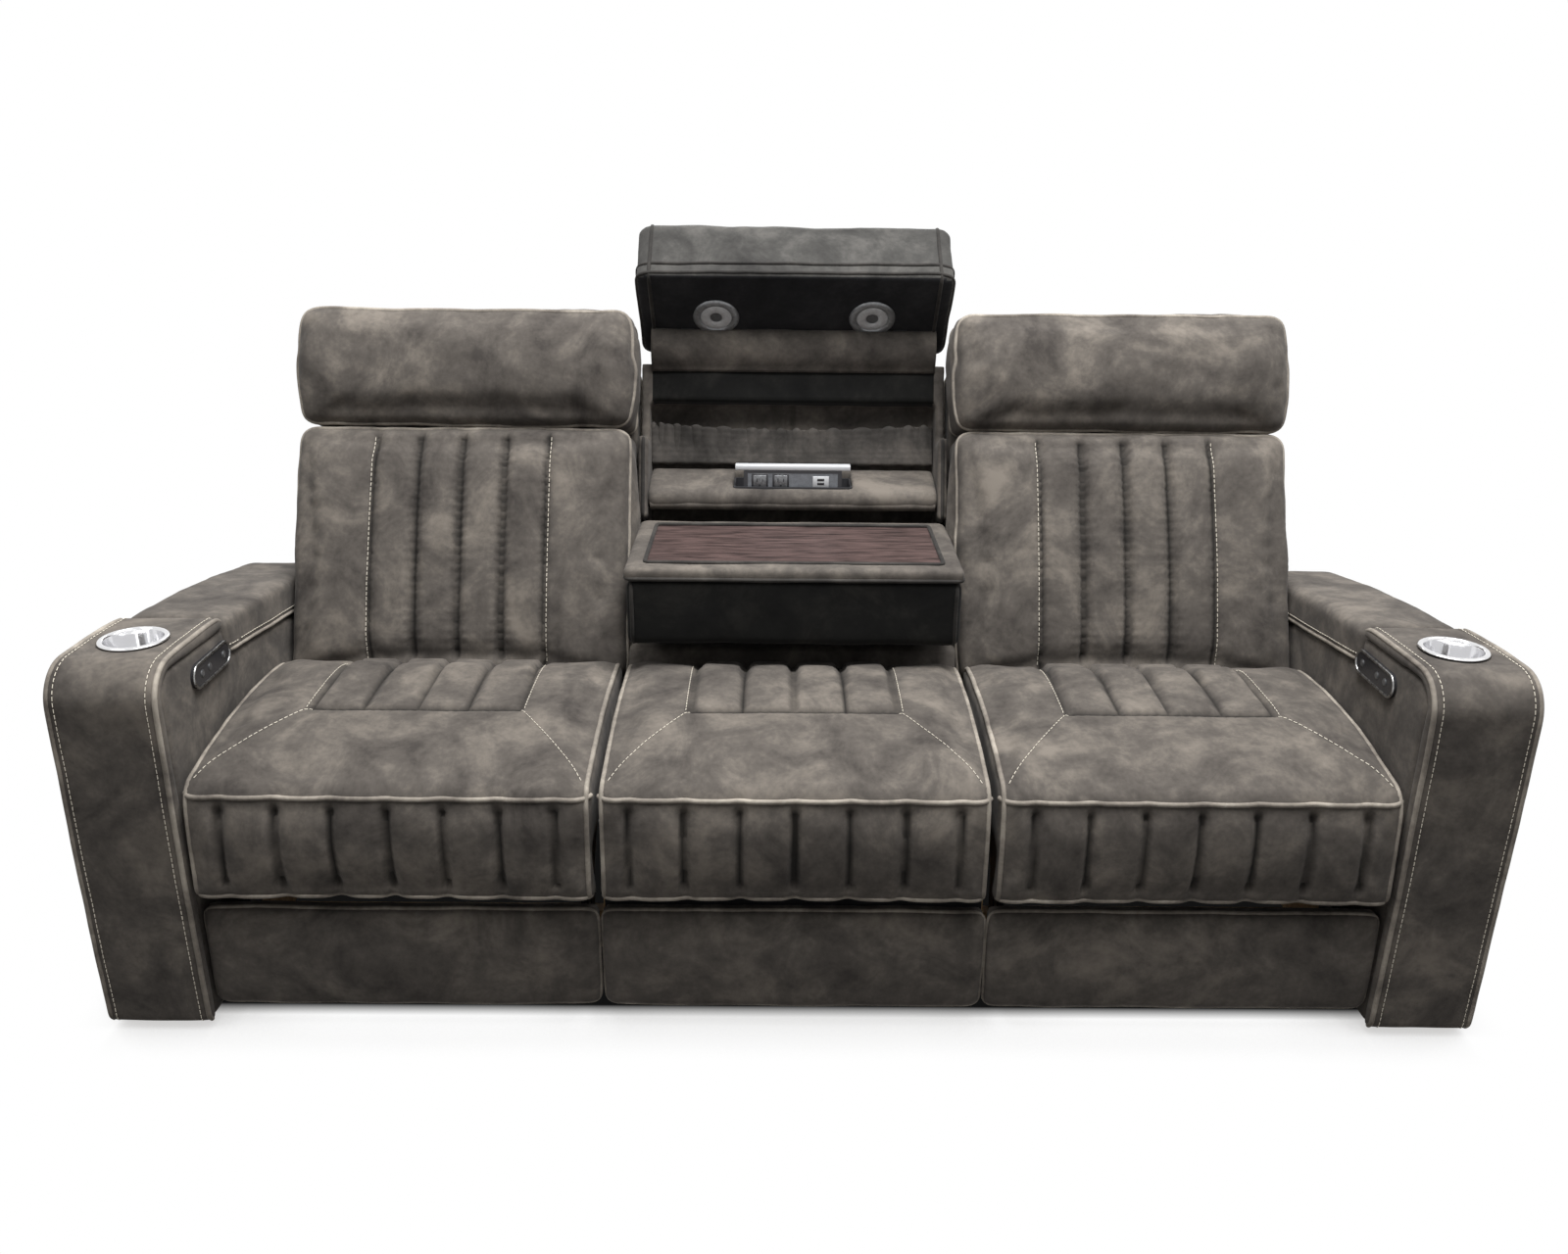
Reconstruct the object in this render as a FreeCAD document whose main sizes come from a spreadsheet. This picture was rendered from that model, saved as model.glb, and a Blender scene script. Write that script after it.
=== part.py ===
"""Sofa with two power recliners, storage arms and a drop-down centre console.

Millimetres. X runs to the right, Y to the back and Z up; the origin is on the floor under the middle.
Leaning pieces use two lengths of their own: rise runs up the front plane of the backs, set is square to it.
"""
import FreeCAD
import Part
import Sketcher

import math
import os
import re
from types import SimpleNamespace

os.makedirs("parts", exist_ok=True)
doc = FreeCAD.newDocument("sofa")
Vector = FreeCAD.Vector

DRIVING_SIZES = (
    ("front_reach", 513, "origin to the front of the seats"),
    ("centre_width", 620, "centre seat"),
    ("seat_width", 637, "each recliner seat"),
    ("arm_width", 171, "each arm"),
    ("section_gap", 6, "gap between two neighbouring sections"),
    ("fit_gap", 2, "clearance between pieces that move past each other"),
    ("seat_depth", 534, "front of the seat to the foot of the back"),
    ("seat_height", 476, "where the seat meets the back"),
    ("seat_front_height", 448, "front edge of the seat"),
    ("cushion_low", 335, "underside of the seat cushions"),
    ("border_low", 250, "lower edge of the front border"),
    ("border_thick", 26, "front border"),
    ("front_radius", 42, "rounding of the front edge of the seat"),
    ("seat_crown", 20, "rise of the seat's middle"),
    ("channel_pitch", 86, "width of one sewn channel"),
    ("channel_depth", 6, "depth of a sewn seam"),
    ("insert_place", 206, "front of the seat to the channelled insert"),
    ("back_lean", 20, "lean of the backs in degrees"),
    ("cushion_thick", 150, "back cushions and headrests"),
    ("cushion_puff", 44, "extra thickness of the back cushions at their foot"),
    ("back_thick", 225, "back cushion and frame together"),
    ("back_low_rise", -70, "lower end of the back cushions, along the lean"),
    ("head_rise", 418, "lower end of the headrests, along the lean"),
    ("head_length", 227, "height of the headrests, along the lean"),
    ("frame_rise", 570, "upper end of the back frames, along the lean"),
    ("back_channel_pitch", 81, "channel width on the back cushions"),
    ("arm_foot", 15, "floor to the underside of the arms"),
    ("arm_front_height", 638, "top of the arm's front roll"),
    ("arm_rear_height", 570, "top of the arm at its rear end"),
    ("arm_length", 781, "front to rear of the arms"),
    ("arm_roll_radius", 62, "front roll of the arm band"),
    ("band_thick", 20, "padded band over the arm's front"),
    ("band_length", 252, "run of the band along the arm's top"),
    ("lid_thick", 66, "padded storage lid"),
    ("lid_length", 512, "padded storage lid"),
    ("lid_crown", 7, "rise of the lid's middle"),
    ("bin_width", 118, "storage bin"),
    ("bin_length", 420, "storage bin"),
    ("bin_depth", 260, "storage bin"),
    ("cup_place", 127, "front of the arm to the middle of the cup"),
    ("cup_bore", 86, "inside of the cup"),
    ("cup_depth", 76, "inside of the cup"),
    ("cup_wall", 1.5, "steel of the cup"),
    ("cup_rim", 105, "outside of the rim"),
    ("panel_length", 140, "control panel"),
    ("panel_height", 42, "control panel"),
    ("panel_thick", 5, "control panel"),
    ("panel_place", 186, "front of the arm to the middle of the control panel"),
    ("panel_level", 573, "middle of the control panel above the floor"),
    ("key_size", 13, "control key"),
    ("key_travel", 1.5, "press of a key"),
    ("rail_width", 22, "timber of the base frame"),
    ("rail_height", 75, "long rails of the base frame"),
    ("base_low", 40, "floor to the underside of the base frame"),
    ("runner_height", 140, "fore-and-aft boards of the base frame"),
    ("rear_panel_top", 250, "top of the low rear panel"),
    ("glide_width", 44, "floor glide"),
    ("footrest_low", 42, "lower edge of the footrest panels"),
    ("footrest_high", 220, "upper edge of the footrest panels"),
    ("footrest_thick", 34, "footrest panel"),
    ("footrest_recess", 14, "footrest face behind the seat's front"),
    ("link_half", 95, "half length of a scissor link"),
    ("link_width", 17, "scissor link"),
    ("link_thick", 4, "scissor link"),
    ("link_pin", 8, "scissor pin"),
    ("link_slope", 6, "upward slope of the footrest's travel in degrees"),
    ("link_root", 132, "front of the seat to the fixed link pivot"),
    ("link_level", 216, "fixed link pivot above the floor"),
    ("link_closed", 84, "angle of the closed links to their travel in degrees"),
    ("link_open", 8, "angle of the open links to their travel in degrees"),
    ("plate_inset", 27, "edge of the seat to its side plate"),
    ("runner_place", 333, "front of the seat to the runners it slides on"),
    ("runner_length", 260, "runner"),
    ("slide_travel", 60, "forward slide of a reclining seat"),
    ("hinge_back", -5, "foot of the back to the recline hinge"),
    ("hinge_level", 330, "recline hinge above the floor"),
    ("console_low_rise", 86, "lower end of the console back, along the lean"),
    ("console_high_rise", 405, "upper end of the console back, along the lean"),
    ("console_pivot_rise", 166, "console pivot, along the lean"),
    ("console_pivot_set", 43, "console pivot, square to the lean"),
    ("console_width", 600, "console back"),
    ("console_thick", 119, "padding of the console back"),
    ("table_thick", 26, "console table"),
    ("table_rim", 36, "padded rim round the laminate"),
    ("laminate_thick", 4, "laminate insert"),
    ("console_fold", 110, "fold of the console in degrees"),
    ("bracket_thick", 4, "steel hinge brackets"),
    ("wing_thick", 18, "side walls of the niche"),
    ("wing_rise", 542, "upper end of the niche walls, along the lean"),
    ("rail_rise", 568, "upper end of the niche's top rail, along the lean"),
    ("top_rail_height", 76, "padded top rail of the niche"),
    ("shelf_level", 690, "underside of the shelf at its front"),
    ("shelf_thick", 38, "padded shelf"),
    ("shelf_place", 191, "foot of the back to the front of the shelf"),
    ("dock_place", 44, "front of the shelf to the dock's shaft"),
    ("shelf_slope", 7, "rise of the shelf to the back in degrees"),
    ("niche_back_thick", 16, "back wall of the niche"),
    ("pocket_height", 82, "gathered pocket"),
    ("pocket_depth", 22, "gathered pocket"),
    ("dock_width", 196, "power dock"),
    ("dock_height", 48, "power dock"),
    ("dock_thick", 20, "power dock"),
    ("raised_turn", 121, "turn of the centre headrest from raised to closed in degrees"),
    ("raise_pivot_rise", 605.5, "hinge of the centre headrest, along the lean"),
    ("raise_pivot_set", 160, "hinge of the centre headrest, square to the lean"),
    ("raise_arm_place", 224, "middle to the hinge arms of the centre headrest"),
    ("light_offset", 0, "reading lights off the middle of the headrest"),
    ("light_ring", 88, "reading light"),
    ("light_spacing", 310, "between the two reading lights"),
    ("light_button", 22, "reading light button"),
)

sheet = doc.addObject("Spreadsheet::Sheet", "sizes")
for row, (alias, value, meaning) in enumerate(DRIVING_SIZES, start=1):
    sheet.set(f"A{row}", meaning)
    sheet.set(f"B{row}", str(value))
    sheet.setAlias(f"B{row}", alias)
doc.recompute()
size = SimpleNamespace(**{alias: float(sheet.get(alias)) for alias, _, _ in DRIVING_SIZES})
nodes = []

LEAN = math.radians(size.back_lean)
FRONT = -size.front_reach
FOOT = FRONT + size.seat_depth
SEAT_HALF = (size.seat_width - size.section_gap) / 2
CENTRE_HALF = (size.centre_width - size.section_gap) / 2
SEAT_CENTRE = (size.centre_width + size.seat_width) / 2
ARM_INNER = size.centre_width / 2 + size.seat_width
ARM_CENTRE = ARM_INNER + size.arm_width / 2
SIDES = (("left", -1), ("right", 1))

FRONT_TEXT = "(0 - front_reach)"
ARM_INNER_TEXT = "(centre_width / 2 + seat_width)"


def linked(text):
    """An expression in which each size's alias points at its cell."""
    return re.sub(r"[a-z_]+", lambda word: "sizes." + word.group() if hasattr(size, word.group()) else word.group(),
                  text)


def bind(piece, **expressions):
    """Ties properties of a piece to expressions over the sizes."""
    for name, text in expressions.items():
        piece.setExpression(name, linked(str(text)))


def place(piece, x, y, z):
    """Ties a piece's place to expressions over the sizes."""
    for letter, text in zip("xyz", (x, y, z)):
        piece.setExpression(f"Placement.Base.{letter}", linked(str(text)))


def keep(piece, label):
    """Counts a finished piece as a node of its own."""
    piece.Label = label
    nodes.append(piece)
    return piece


def block(name, length, width, height, x, y, z):
    """A box, all of it by expressions."""
    piece = doc.addObject("Part::Box", name)
    bind(piece, Length=length, Width=width, Height=height)
    place(piece, x, y, z)
    return piece


def rod(name, radius, length, x, y, z, axis="x"):
    """A cylinder that starts at a point and runs along +X, +Y or +Z."""
    piece = doc.addObject("Part::Cylinder", name)
    bind(piece, Radius=radius, Height=length)
    turns = {"x": (Vector(0, 1, 0), 90), "y": (Vector(1, 0, 0), -90), "z": (Vector(0, 0, 1), 0)}
    piece.Placement = FreeCAD.Placement(Vector(), FreeCAD.Rotation(*turns[axis]))
    place(piece, x, y, z)
    return piece


def cut(name, base, tool):
    """One piece less another."""
    piece = doc.addObject("Part::Cut", name)
    piece.Base = base
    piece.Tool = tool
    return piece


def fuse(name, pieces):
    """Several pieces made one."""
    piece = doc.addObject("Part::MultiFuse", name)
    piece.Shapes = pieces
    piece.Refine = True
    return piece


def group(name, pieces):
    """Several separate solids under one name."""
    piece = doc.addObject("Part::Compound", name)
    piece.Links = pieces
    return piece


def shaped(name, shape, placement=None):
    """A piece whose form comes from a loft or another direct construction."""
    piece = doc.addObject("Part::Feature", name)
    piece.Shape = shape
    if placement is not None:
        piece.Placement = placement
    return piece


def profile_body(name, corners, length, plane="YZ_Plane", holes=()):
    """A body padded from a closed outline; corners are pairs of expressions, holes are (u, v, radius)."""
    body = doc.addObject("PartDesign::Body", name)
    sketch = body.newObject("Sketcher::SketchObject", name + "_outline")
    role = next(item for item in body.Origin.OriginFeatures if item.Role == plane)
    sketch.AttachmentSupport = [(role, "")]
    sketch.MapMode = "FlatFace"
    values = [(number(u), number(v)) for u, v in corners]
    count = len(values)
    for index in range(count):
        start, end = values[index], values[(index + 1) % count]
        sketch.addGeometry(Part.LineSegment(Vector(*start, 0), Vector(*end, 0)), False)
    for index, (u, v) in enumerate(corners):
        sketch.addConstraint(Sketcher.Constraint("Coincident", (index - 1) % count, 2, index, 1))
        for kind, text, value in (("DistanceX", u, values[index][0]), ("DistanceY", v, values[index][1])):
            place_in = sketch.addConstraint(Sketcher.Constraint(kind, -1, 1, index, 1, value))
            sketch.setExpression(f"Constraints[{place_in}]", linked(str(text)))
    for u, v, radius in holes:
        circle = sketch.addGeometry(Part.Circle(Vector(number(u), number(v), 0), Vector(0, 0, 1), number(radius)),
                                    False)
        for kind, text in (("DistanceX", u), ("DistanceY", v)):
            place_in = sketch.addConstraint(Sketcher.Constraint(kind, -1, 1, circle, 3, number(text)))
            sketch.setExpression(f"Constraints[{place_in}]", linked(str(text)))
        place_in = sketch.addConstraint(Sketcher.Constraint("Radius", circle, number(radius)))
        sketch.setExpression(f"Constraints[{place_in}]", linked(str(radius)))
    pad = body.newObject("PartDesign::Pad", name + "_pad")
    pad.Profile = sketch
    pad.setExpression("Length", linked(str(length)))
    body.Tip = pad
    return body


def number(text):
    """The present value of an expression over the sizes."""
    return float(sheet.evalExpression(linked(text)))


def tidy_corners(corners, insets):
    """The corners of a closed outline after each side has moved inwards by its own inset."""
    count = len(corners)
    lines = []
    for index in range(count):
        (u0, v0), (u1, v1) = corners[index][:2], corners[(index + 1) % count][:2]
        length = math.hypot(u1 - u0, v1 - v0)
        du, dv = (u1 - u0) / length, (v1 - v0) / length
        lines.append((u0 - dv * insets[index], v0 + du * insets[index], du, dv))
    moved = []
    for index in range(count):
        u0, v0, du0, dv0 = lines[index - 1]
        u1, v1, du1, dv1 = lines[index]
        reach = ((u1 - u0) * dv1 - (v1 - v0) * du1) / (du0 * dv1 - dv0 * du1)
        moved.append((u0 + du0 * reach, v0 + dv0 * reach))
    return moved


def soft_wire(corners, lift, insets=None):
    """A closed wire of lines and arcs.

    Each corner is (u, v, radius, bulge): its own rounding, and the outward rise of the side that follows it.
    Corners run anticlockwise; lift turns (u, v) into a point.
    """
    count = len(corners)
    places = tidy_corners(corners, insets or [0] * count)
    starts, ends, middles = [], [], []
    for index, (u, v) in enumerate(places):
        before = Vector(places[index - 1][0] - u, places[index - 1][1] - v, 0)
        after = Vector(places[(index + 1) % count][0] - u, places[(index + 1) % count][1] - v, 0)
        before.normalize()
        after.normalize()
        half = before.getAngle(after) / 2
        radius = corners[index][2]
        here = Vector(u, v, 0)
        inward = before + after
        inward.normalize()
        starts.append(here + before * (radius / math.tan(half)))
        ends.append(here + after * (radius / math.tan(half)))
        middles.append(here + inward * (radius / math.sin(half) - radius))
    edges = []
    for index in range(count):
        following = (index + 1) % count
        if corners[index][2] > 0:
            edges.append(Part.Arc(lift(starts[index]), lift(middles[index]), lift(ends[index])).toShape())
        near, far = ends[index], starts[following]
        bulge = corners[index][3]
        if bulge:
            along = far - near
            outward = Vector(along.y, -along.x, 0)
            outward.normalize()
            top = (near + far) * 0.5 + outward * bulge
            edges.append(Part.Arc(lift(near), lift(top), lift(far)).toShape())
        else:
            edges.append(Part.LineSegment(lift(near), lift(far)).toShape())
    return Part.Wire(edges)


def soft_loft(corners, stations):
    """A soft solid along X: one outline per station, each with its own insets."""
    wires = []
    for x, insets in stations:
        wires.append(soft_wire(corners, lambda point, x=x: Vector(x, point.x, point.y), insets))
    return Part.makeLoft(wires, True, True)


def end_insets(half, count, rounding, pull):
    """Stations for one rounded end: (x, insets), from the end face inwards; pull draws the sides in."""
    steps = ((0.0, 1.0), (0.3, 0.45), (1.0, 0.0))
    return [(half - rounding * out, [pull * draw] * count) for out, draw in steps]


def channel_stations(half, count, seams, drawn_sides, depth, rounding, pull):
    """Stations of a soft piece from -half to half, drawn in at each seam on the sides that carry it."""
    right = end_insets(half, count, rounding, pull)
    left = [(-x, insets) for x, insets in right]
    shoulder = depth * 2.2
    inner = []
    for seam, sides in sorted(seams):
        for offset, share in ((-shoulder, 0), (0, 1), (shoulder, 0)):
            insets = [depth * share if side in sides and side in drawn_sides else 0 for side in range(count)]
            inner.append((seam + offset, insets))
    return left + inner + right[::-1]


def leaning(x=0.0, set_back=0.0, rise=0.0):
    """The placement that stands a piece, modelled in (x, set, rise), on the lean of the backs."""
    turn = FreeCAD.Rotation(Vector(1, 0, 0), -size.back_lean)
    foot = Vector(0, FOOT, size.seat_height)
    return FreeCAD.Placement(foot + turn.multVec(Vector(x, set_back, rise)), turn)


def lean_point(set_back, rise):
    """Y and Z of a point given by its set and rise."""
    point = leaning(0, set_back, rise).Base
    return point.y, point.z


def arm_outline(inset=0.0):
    """The arm's side outline as corners, from the rear foot anticlockwise, drawn in by an inset."""
    rear = FRONT + size.arm_length
    brow = FRONT + size.band_length + size.band_thick
    corners = [
        (FRONT + size.border_thick, size.arm_foot, 0, 0),
        (rear, size.arm_foot, 0, 0),
        (rear, size.arm_rear_height - size.lid_thick, 0, 0),
        (brow, lid_foot_level(), 0, 0),
    ]
    return [(u, v, r, b) for (u, v), (_, _, r, b) in zip(tidy_corners(corners, [inset] * 4), corners)]


def lid_slope():
    """Slope of the lid in radians: it falls from the band to the rear of the arm."""
    fall = size.arm_front_height - 10 - size.arm_rear_height
    return math.asin(fall / size.lid_length)


def lid_foot_level():
    """Height of the lid's lower front edge."""
    return size.arm_front_height - 10 - size.lid_thick * math.cos(lid_slope())


def lid_front():
    """Y of the lid's lower front edge."""
    return FRONT + size.band_length + size.fit_gap + 1


def make_arm(side, sign):
    """One arm: carcass with its bin, front band, cup holder, control panel with keys, and storage lid."""
    centre = sign * ARM_CENTRE
    inner = sign * ARM_INNER
    slope = lid_slope()
    half = size.arm_width / 2
    rear = FRONT + size.arm_length
    seam = FRONT + size.band_length
    band_inner = FRONT + size.band_thick
    top = size.arm_front_height
    foot = size.arm_foot

    def across(point, x):
        return Vector(centre + x, point.x, point.y)

    def slab(corners, width):
        wire = soft_wire(corners, lambda point: across(point, -width / 2))
        return Part.Face(wire).extrude(Vector(width, 0, 0))

    lid_low = lid_foot_level()
    lid_rear_low = lid_low - (rear - lid_front()) * math.tan(slope)
    carcass = [
        (band_inner, foot, 0, 0),
        (rear, foot, 6, 0),
        (rear, lid_rear_low - size.fit_gap, 6, 0),
        (lid_front(), lid_low - size.fit_gap, 0, 0),
        (seam, lid_low - size.fit_gap, 0, 0),
        (seam, top - 8 - size.band_thick, 0, 0),
        (band_inner, top - size.band_thick, size.arm_roll_radius - size.band_thick, 0),
    ]
    frame = slab(carcass, size.arm_width - 4)
    bin_front = seam + 45
    bin_floor = lid_rear_low - size.bin_depth
    hollow = Part.makeBox(size.bin_width, size.bin_length, size.bin_depth * 2,
                          Vector(centre - size.bin_width / 2, bin_front, bin_floor))
    cup_y = FRONT + size.cup_place
    shank = size.cup_bore / 2 + size.cup_wall + size.fit_gap / 2
    well = Part.makeCylinder(shank, size.cup_depth + 60, Vector(centre, cup_y, top - size.cup_depth - 6))
    frame = frame.cut(hollow).cut(well)
    keep(shaped("arm_frame_" + side, frame), "arm_frame_" + side)

    band = [
        (FRONT, foot, 4, 0),
        (band_inner, foot, 0, 0),
        (band_inner, top - size.band_thick, size.arm_roll_radius - size.band_thick, 0),
        (seam, top - 8 - size.band_thick, 0, 0),
        (seam, top - 8, 8, 2),
        (FRONT, top, size.arm_roll_radius, 3),
    ]
    stations = [(x, insets) for x, insets in channel_stations(half, 6, [], (), 0, 12, 6)]
    draws = [[0, 0, 0, 0, insets[0], insets[0]] for _, insets in stations]
    wires = [soft_wire(band, lambda point, x=x: across(point, x), draw) for (x, _), draw in zip(stations, draws)]
    body = Part.makeLoft(wires, True, True).cut(well)
    keep(shaped("arm_band_" + side, body), "arm_band_" + side)

    make_cup_holder(side, centre, cup_y, top)
    make_control_panel(side, sign, inner)

    lid_outline = [
        (0, 0, 3, 0),
        (size.lid_length, 0, 3, 0),
        (size.lid_length, size.lid_thick - 6, 26, size.lid_crown),
        (0, size.lid_thick - 2, 16, 0),
    ]
    lid_wires = []
    for x, insets in channel_stations(half, 4, [], (), 0, 22, 9):
        draw = [0, insets[0] / 3, insets[0], insets[0] / 3]
        lid_wires.append(soft_wire(lid_outline, lambda point, x=x: Vector(x, point.x, point.y), draw))
    lid = Part.makeLoft(lid_wires, True, True)
    tray = Part.makeBox(size.bin_width - 14, size.bin_length - 14, 12,
                        Vector(-(size.bin_width - 14) / 2, bin_front - lid_front() + 7, -3))
    stand = FreeCAD.Placement(Vector(centre, lid_front(), lid_low), FreeCAD.Rotation(Vector(1, 0, 0),
                                                                                  -math.degrees(slope)))
    keep(shaped("arm_lid_" + side, lid.fuse(tray).removeSplitter(), stand), "arm_lid_" + side)


def make_cup_holder(side, centre, cup_y, top):
    """A spun steel cup with a rolled rim."""
    bore = size.cup_bore / 2
    outer = bore + size.cup_wall
    rim = size.cup_rim / 2
    deck = top - 3
    floor = deck - size.cup_depth
    outline = [
        Vector(0, 0, floor - size.cup_wall),
        Vector(outer - 5, 0, floor - size.cup_wall),
        Vector(outer, 0, floor + 4),
        Vector(outer, 0, deck + 3),
        Vector(rim, 0, deck + 3),
        Vector(rim - 1, 0, deck + 6),
        Vector(bore + 3, 0, deck + 7),
        Vector(bore, 0, deck + 3),
        Vector(bore, 0, floor + 5),
        Vector(bore - 5, 0, floor),
        Vector(0, 0, floor),
    ]
    face = Part.Face(Part.makePolygon(outline + outline[:1]))
    cup = face.revolve(Vector(), Vector(0, 0, 1), 360)
    place_at = FreeCAD.Placement(Vector(centre, cup_y, 0), FreeCAD.Rotation())
    keep(shaped("cup_holder_" + side, cup, place_at), "cup_holder_" + side)


def stadium(length, height, thick):
    """A flat plate with half-round ends in the YZ plane, thick along +X, centred on Y and Z."""
    reach = (length - height) / 2
    bar = Part.makeBox(thick, length - height, height, Vector(0, -reach, -height / 2))
    ends = [Part.makeCylinder(height / 2, thick, Vector(0, y, 0), Vector(1, 0, 0)) for y in (-reach, reach)]
    return bar.fuse(ends).removeSplitter()


def make_control_panel(side, sign, inner):
    """The stadium-shaped panel on the arm's inner face, with a key in each of its three wells.

    Half a turn carries the panel to the other arm, so its keys change ends to keep the home key at the rear.
    """
    plate = stadium(size.panel_length, size.panel_height, size.panel_thick)
    key_radius, sideways = size.key_size / 2, Vector(1, 0, 0)
    well_floor, play = 1.5, 0.4
    keys = [(name, -sign * y) for name, y in (("open_key", -38), ("close_key", -10), ("home_key", 44))]
    wells = [Part.makeCylinder(key_radius + play, size.panel_thick, Vector(well_floor, y, 0), sideways)
             for name, y in keys]
    face = plate.cut(wells)
    turn = FreeCAD.Rotation(Vector(0, 0, 1), 180 if sign > 0 else 0)
    base = Vector(inner + sign * 2, FRONT + size.panel_place, size.panel_level)
    keep(shaped("control_panel_" + side, face, FreeCAD.Placement(base, turn)), "control_panel_" + side)
    for name, y in keys:
        shank = Part.makeCylinder(key_radius, size.panel_thick - well_floor - size.key_travel,
                                  Vector(well_floor + size.key_travel + 0.2, y, 0), sideways)
        crown = Part.makeCylinder(key_radius - 1.5, 1.2, Vector(size.panel_thick + 0.1, y, 0), sideways)
        label = f"{name}_{side}"
        keep(shaped(label, shank.fuse(crown).removeSplitter(), FreeCAD.Placement(base, turn)), label)


def make_seat_cushion(name, centre, half):
    """A seat cushion with its channelled front border and the raised, channelled insert on top."""
    low, lean = size.cushion_low, math.tan(LEAN)
    rear_top = FOOT - size.cushion_puff / math.cos(LEAN) - 11
    rear_low = rear_top - (size.seat_height - low) * lean
    corners = [
        (FRONT, size.border_low, 6, 0),
        (FRONT + size.border_thick, size.border_low, 6, 0),
        (FRONT + size.border_thick, low, 0, 0),
        (rear_low, low, 8, 0),
        (rear_top, size.seat_height, 22, size.seat_crown),
        (FRONT, size.seat_front_height, size.front_radius, 3),
    ]
    seams = [(step * size.channel_pitch, (5,)) for step in range(-3, 4)]
    stations = channel_stations(half, 6, seams, (5,), size.channel_depth, 20, 8)
    wires = []
    for x, insets in stations:
        draw = [0, 0, 0, insets[3] / 2, insets[4], insets[5]]
        wires.append(soft_wire(corners, lambda point, x=x: Vector(centre + x, point.x, point.y), draw))
    cushion = Part.makeLoft(wires, True, True)
    insert_front = FRONT + size.insert_place
    insert_rear = rear_top - 6
    front_level = size.seat_front_height + size.seat_crown * 0.95
    insert = [
        (insert_front, size.cushion_low + 60, 0, 0),
        (insert_rear - 40, size.cushion_low + 60, 0, 0),
        (insert_rear, size.seat_height + 4, 12, size.seat_crown * 0.75),
        (insert_front, front_level, 9, 0),
    ]
    insert_half = 2 * size.channel_pitch
    insert_seams = [(step * size.channel_pitch, (2,)) for step in (-1, 0, 1)]
    wires = []
    for x, insets in channel_stations(insert_half, 4, insert_seams, (2,), size.channel_depth, 12, 5):
        draw = [0, 0, insets[2], 0]
        wires.append(soft_wire(insert, lambda point, x=x: Vector(centre + x, point.x, point.y), draw))
    whole = cushion.fuse(Part.makeLoft(wires, True, True))
    return keep(shaped(name, whole), name)


def lean_cushion(name, placement, half, low, high, bulge, seams=(), top_radius=24, puff=0.0, crown=5):
    """A back cushion or headrest in (x, set, rise), crowned in front, with seams down its front."""
    thick = size.cushion_thick
    corners = [
        (-puff, low, 24, 0),
        (thick, low, 8, 0),
        (thick, high, 8, crown),
        (0, high, top_radius, bulge),
    ]
    marks = [(x, (3,)) for x in seams]
    stations = channel_stations(half, 4, marks, (3,), size.channel_depth, 24, 10)
    stations = [(x, [insets[0], insets[1] / 2, insets[2], insets[3]]) for x, insets in stations]
    return keep(shaped(name, soft_loft(corners, stations), placement), name)


def link_places(angle):
    """The pivots of the footrest scissor in (y, z) when its links stand at an angle to their travel."""
    slope = math.radians(size.link_slope)
    turn = math.radians(angle)
    along = Vector(-math.cos(slope), math.sin(slope), 0)
    down = Vector(-math.sin(slope), -math.cos(slope), 0)
    root = Vector(FRONT + size.link_root, size.link_level, 0)
    step = along * (2 * size.link_half * math.cos(turn))
    drop = down * (2 * size.link_half * math.sin(turn))
    return {"root": root, "slot": root + drop, "upper": root + step, "lower": root + step + drop,
            "upper_end": root + step * 2, "lower_end": root + step * 2 + drop, "down": down}


def bar(start, end, x, thick, width, holes=()):
    """A flat steel link in a plane of constant X from one pivot to another, with round ends."""
    along = end - start
    turn = math.degrees(math.atan2(along.y, along.x))
    length = along.Length
    body = Part.makeBox(length, width, thick, Vector(0, -width / 2, 0))
    ends = [Part.makeCylinder(width / 2, thick, Vector(reach, 0, 0)) for reach in (0, length)]
    link = body.fuse(ends).removeSplitter()
    bores = [Part.makeCylinder(radius, thick, Vector(reach * length, 0, 0)) for reach, radius in holes]
    if bores:
        link = link.cut(bores)
    stand = FreeCAD.Placement(Vector(x, start.x, start.y), FreeCAD.Rotation(Vector(0, 0, 1), Vector(1, 0, 0)))
    flat = FreeCAD.Rotation(Vector(0, 1, 0), Vector(0, 0, 1), Vector(1, 0, 0), "ZXY")
    link.Placement = FreeCAD.Placement(stand.Base, flat.multiply(FreeCAD.Rotation(Vector(0, 0, 1), turn)))
    return link


def pin(place_at, x, length, radius):
    """A round pin along +X at a (y, z) place."""
    return Part.makeCylinder(radius, length, Vector(x, place_at.x, place_at.y), Vector(1, 0, 0))


def plate(corners, x, thick):
    """A flat plate in a plane of constant X with the given (y, z) outline."""
    points = [Vector(x, y, z) for y, z in corners]
    return Part.Face(Part.makePolygon(points + points[:1])).extrude(Vector(thick, 0, 0))


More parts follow.
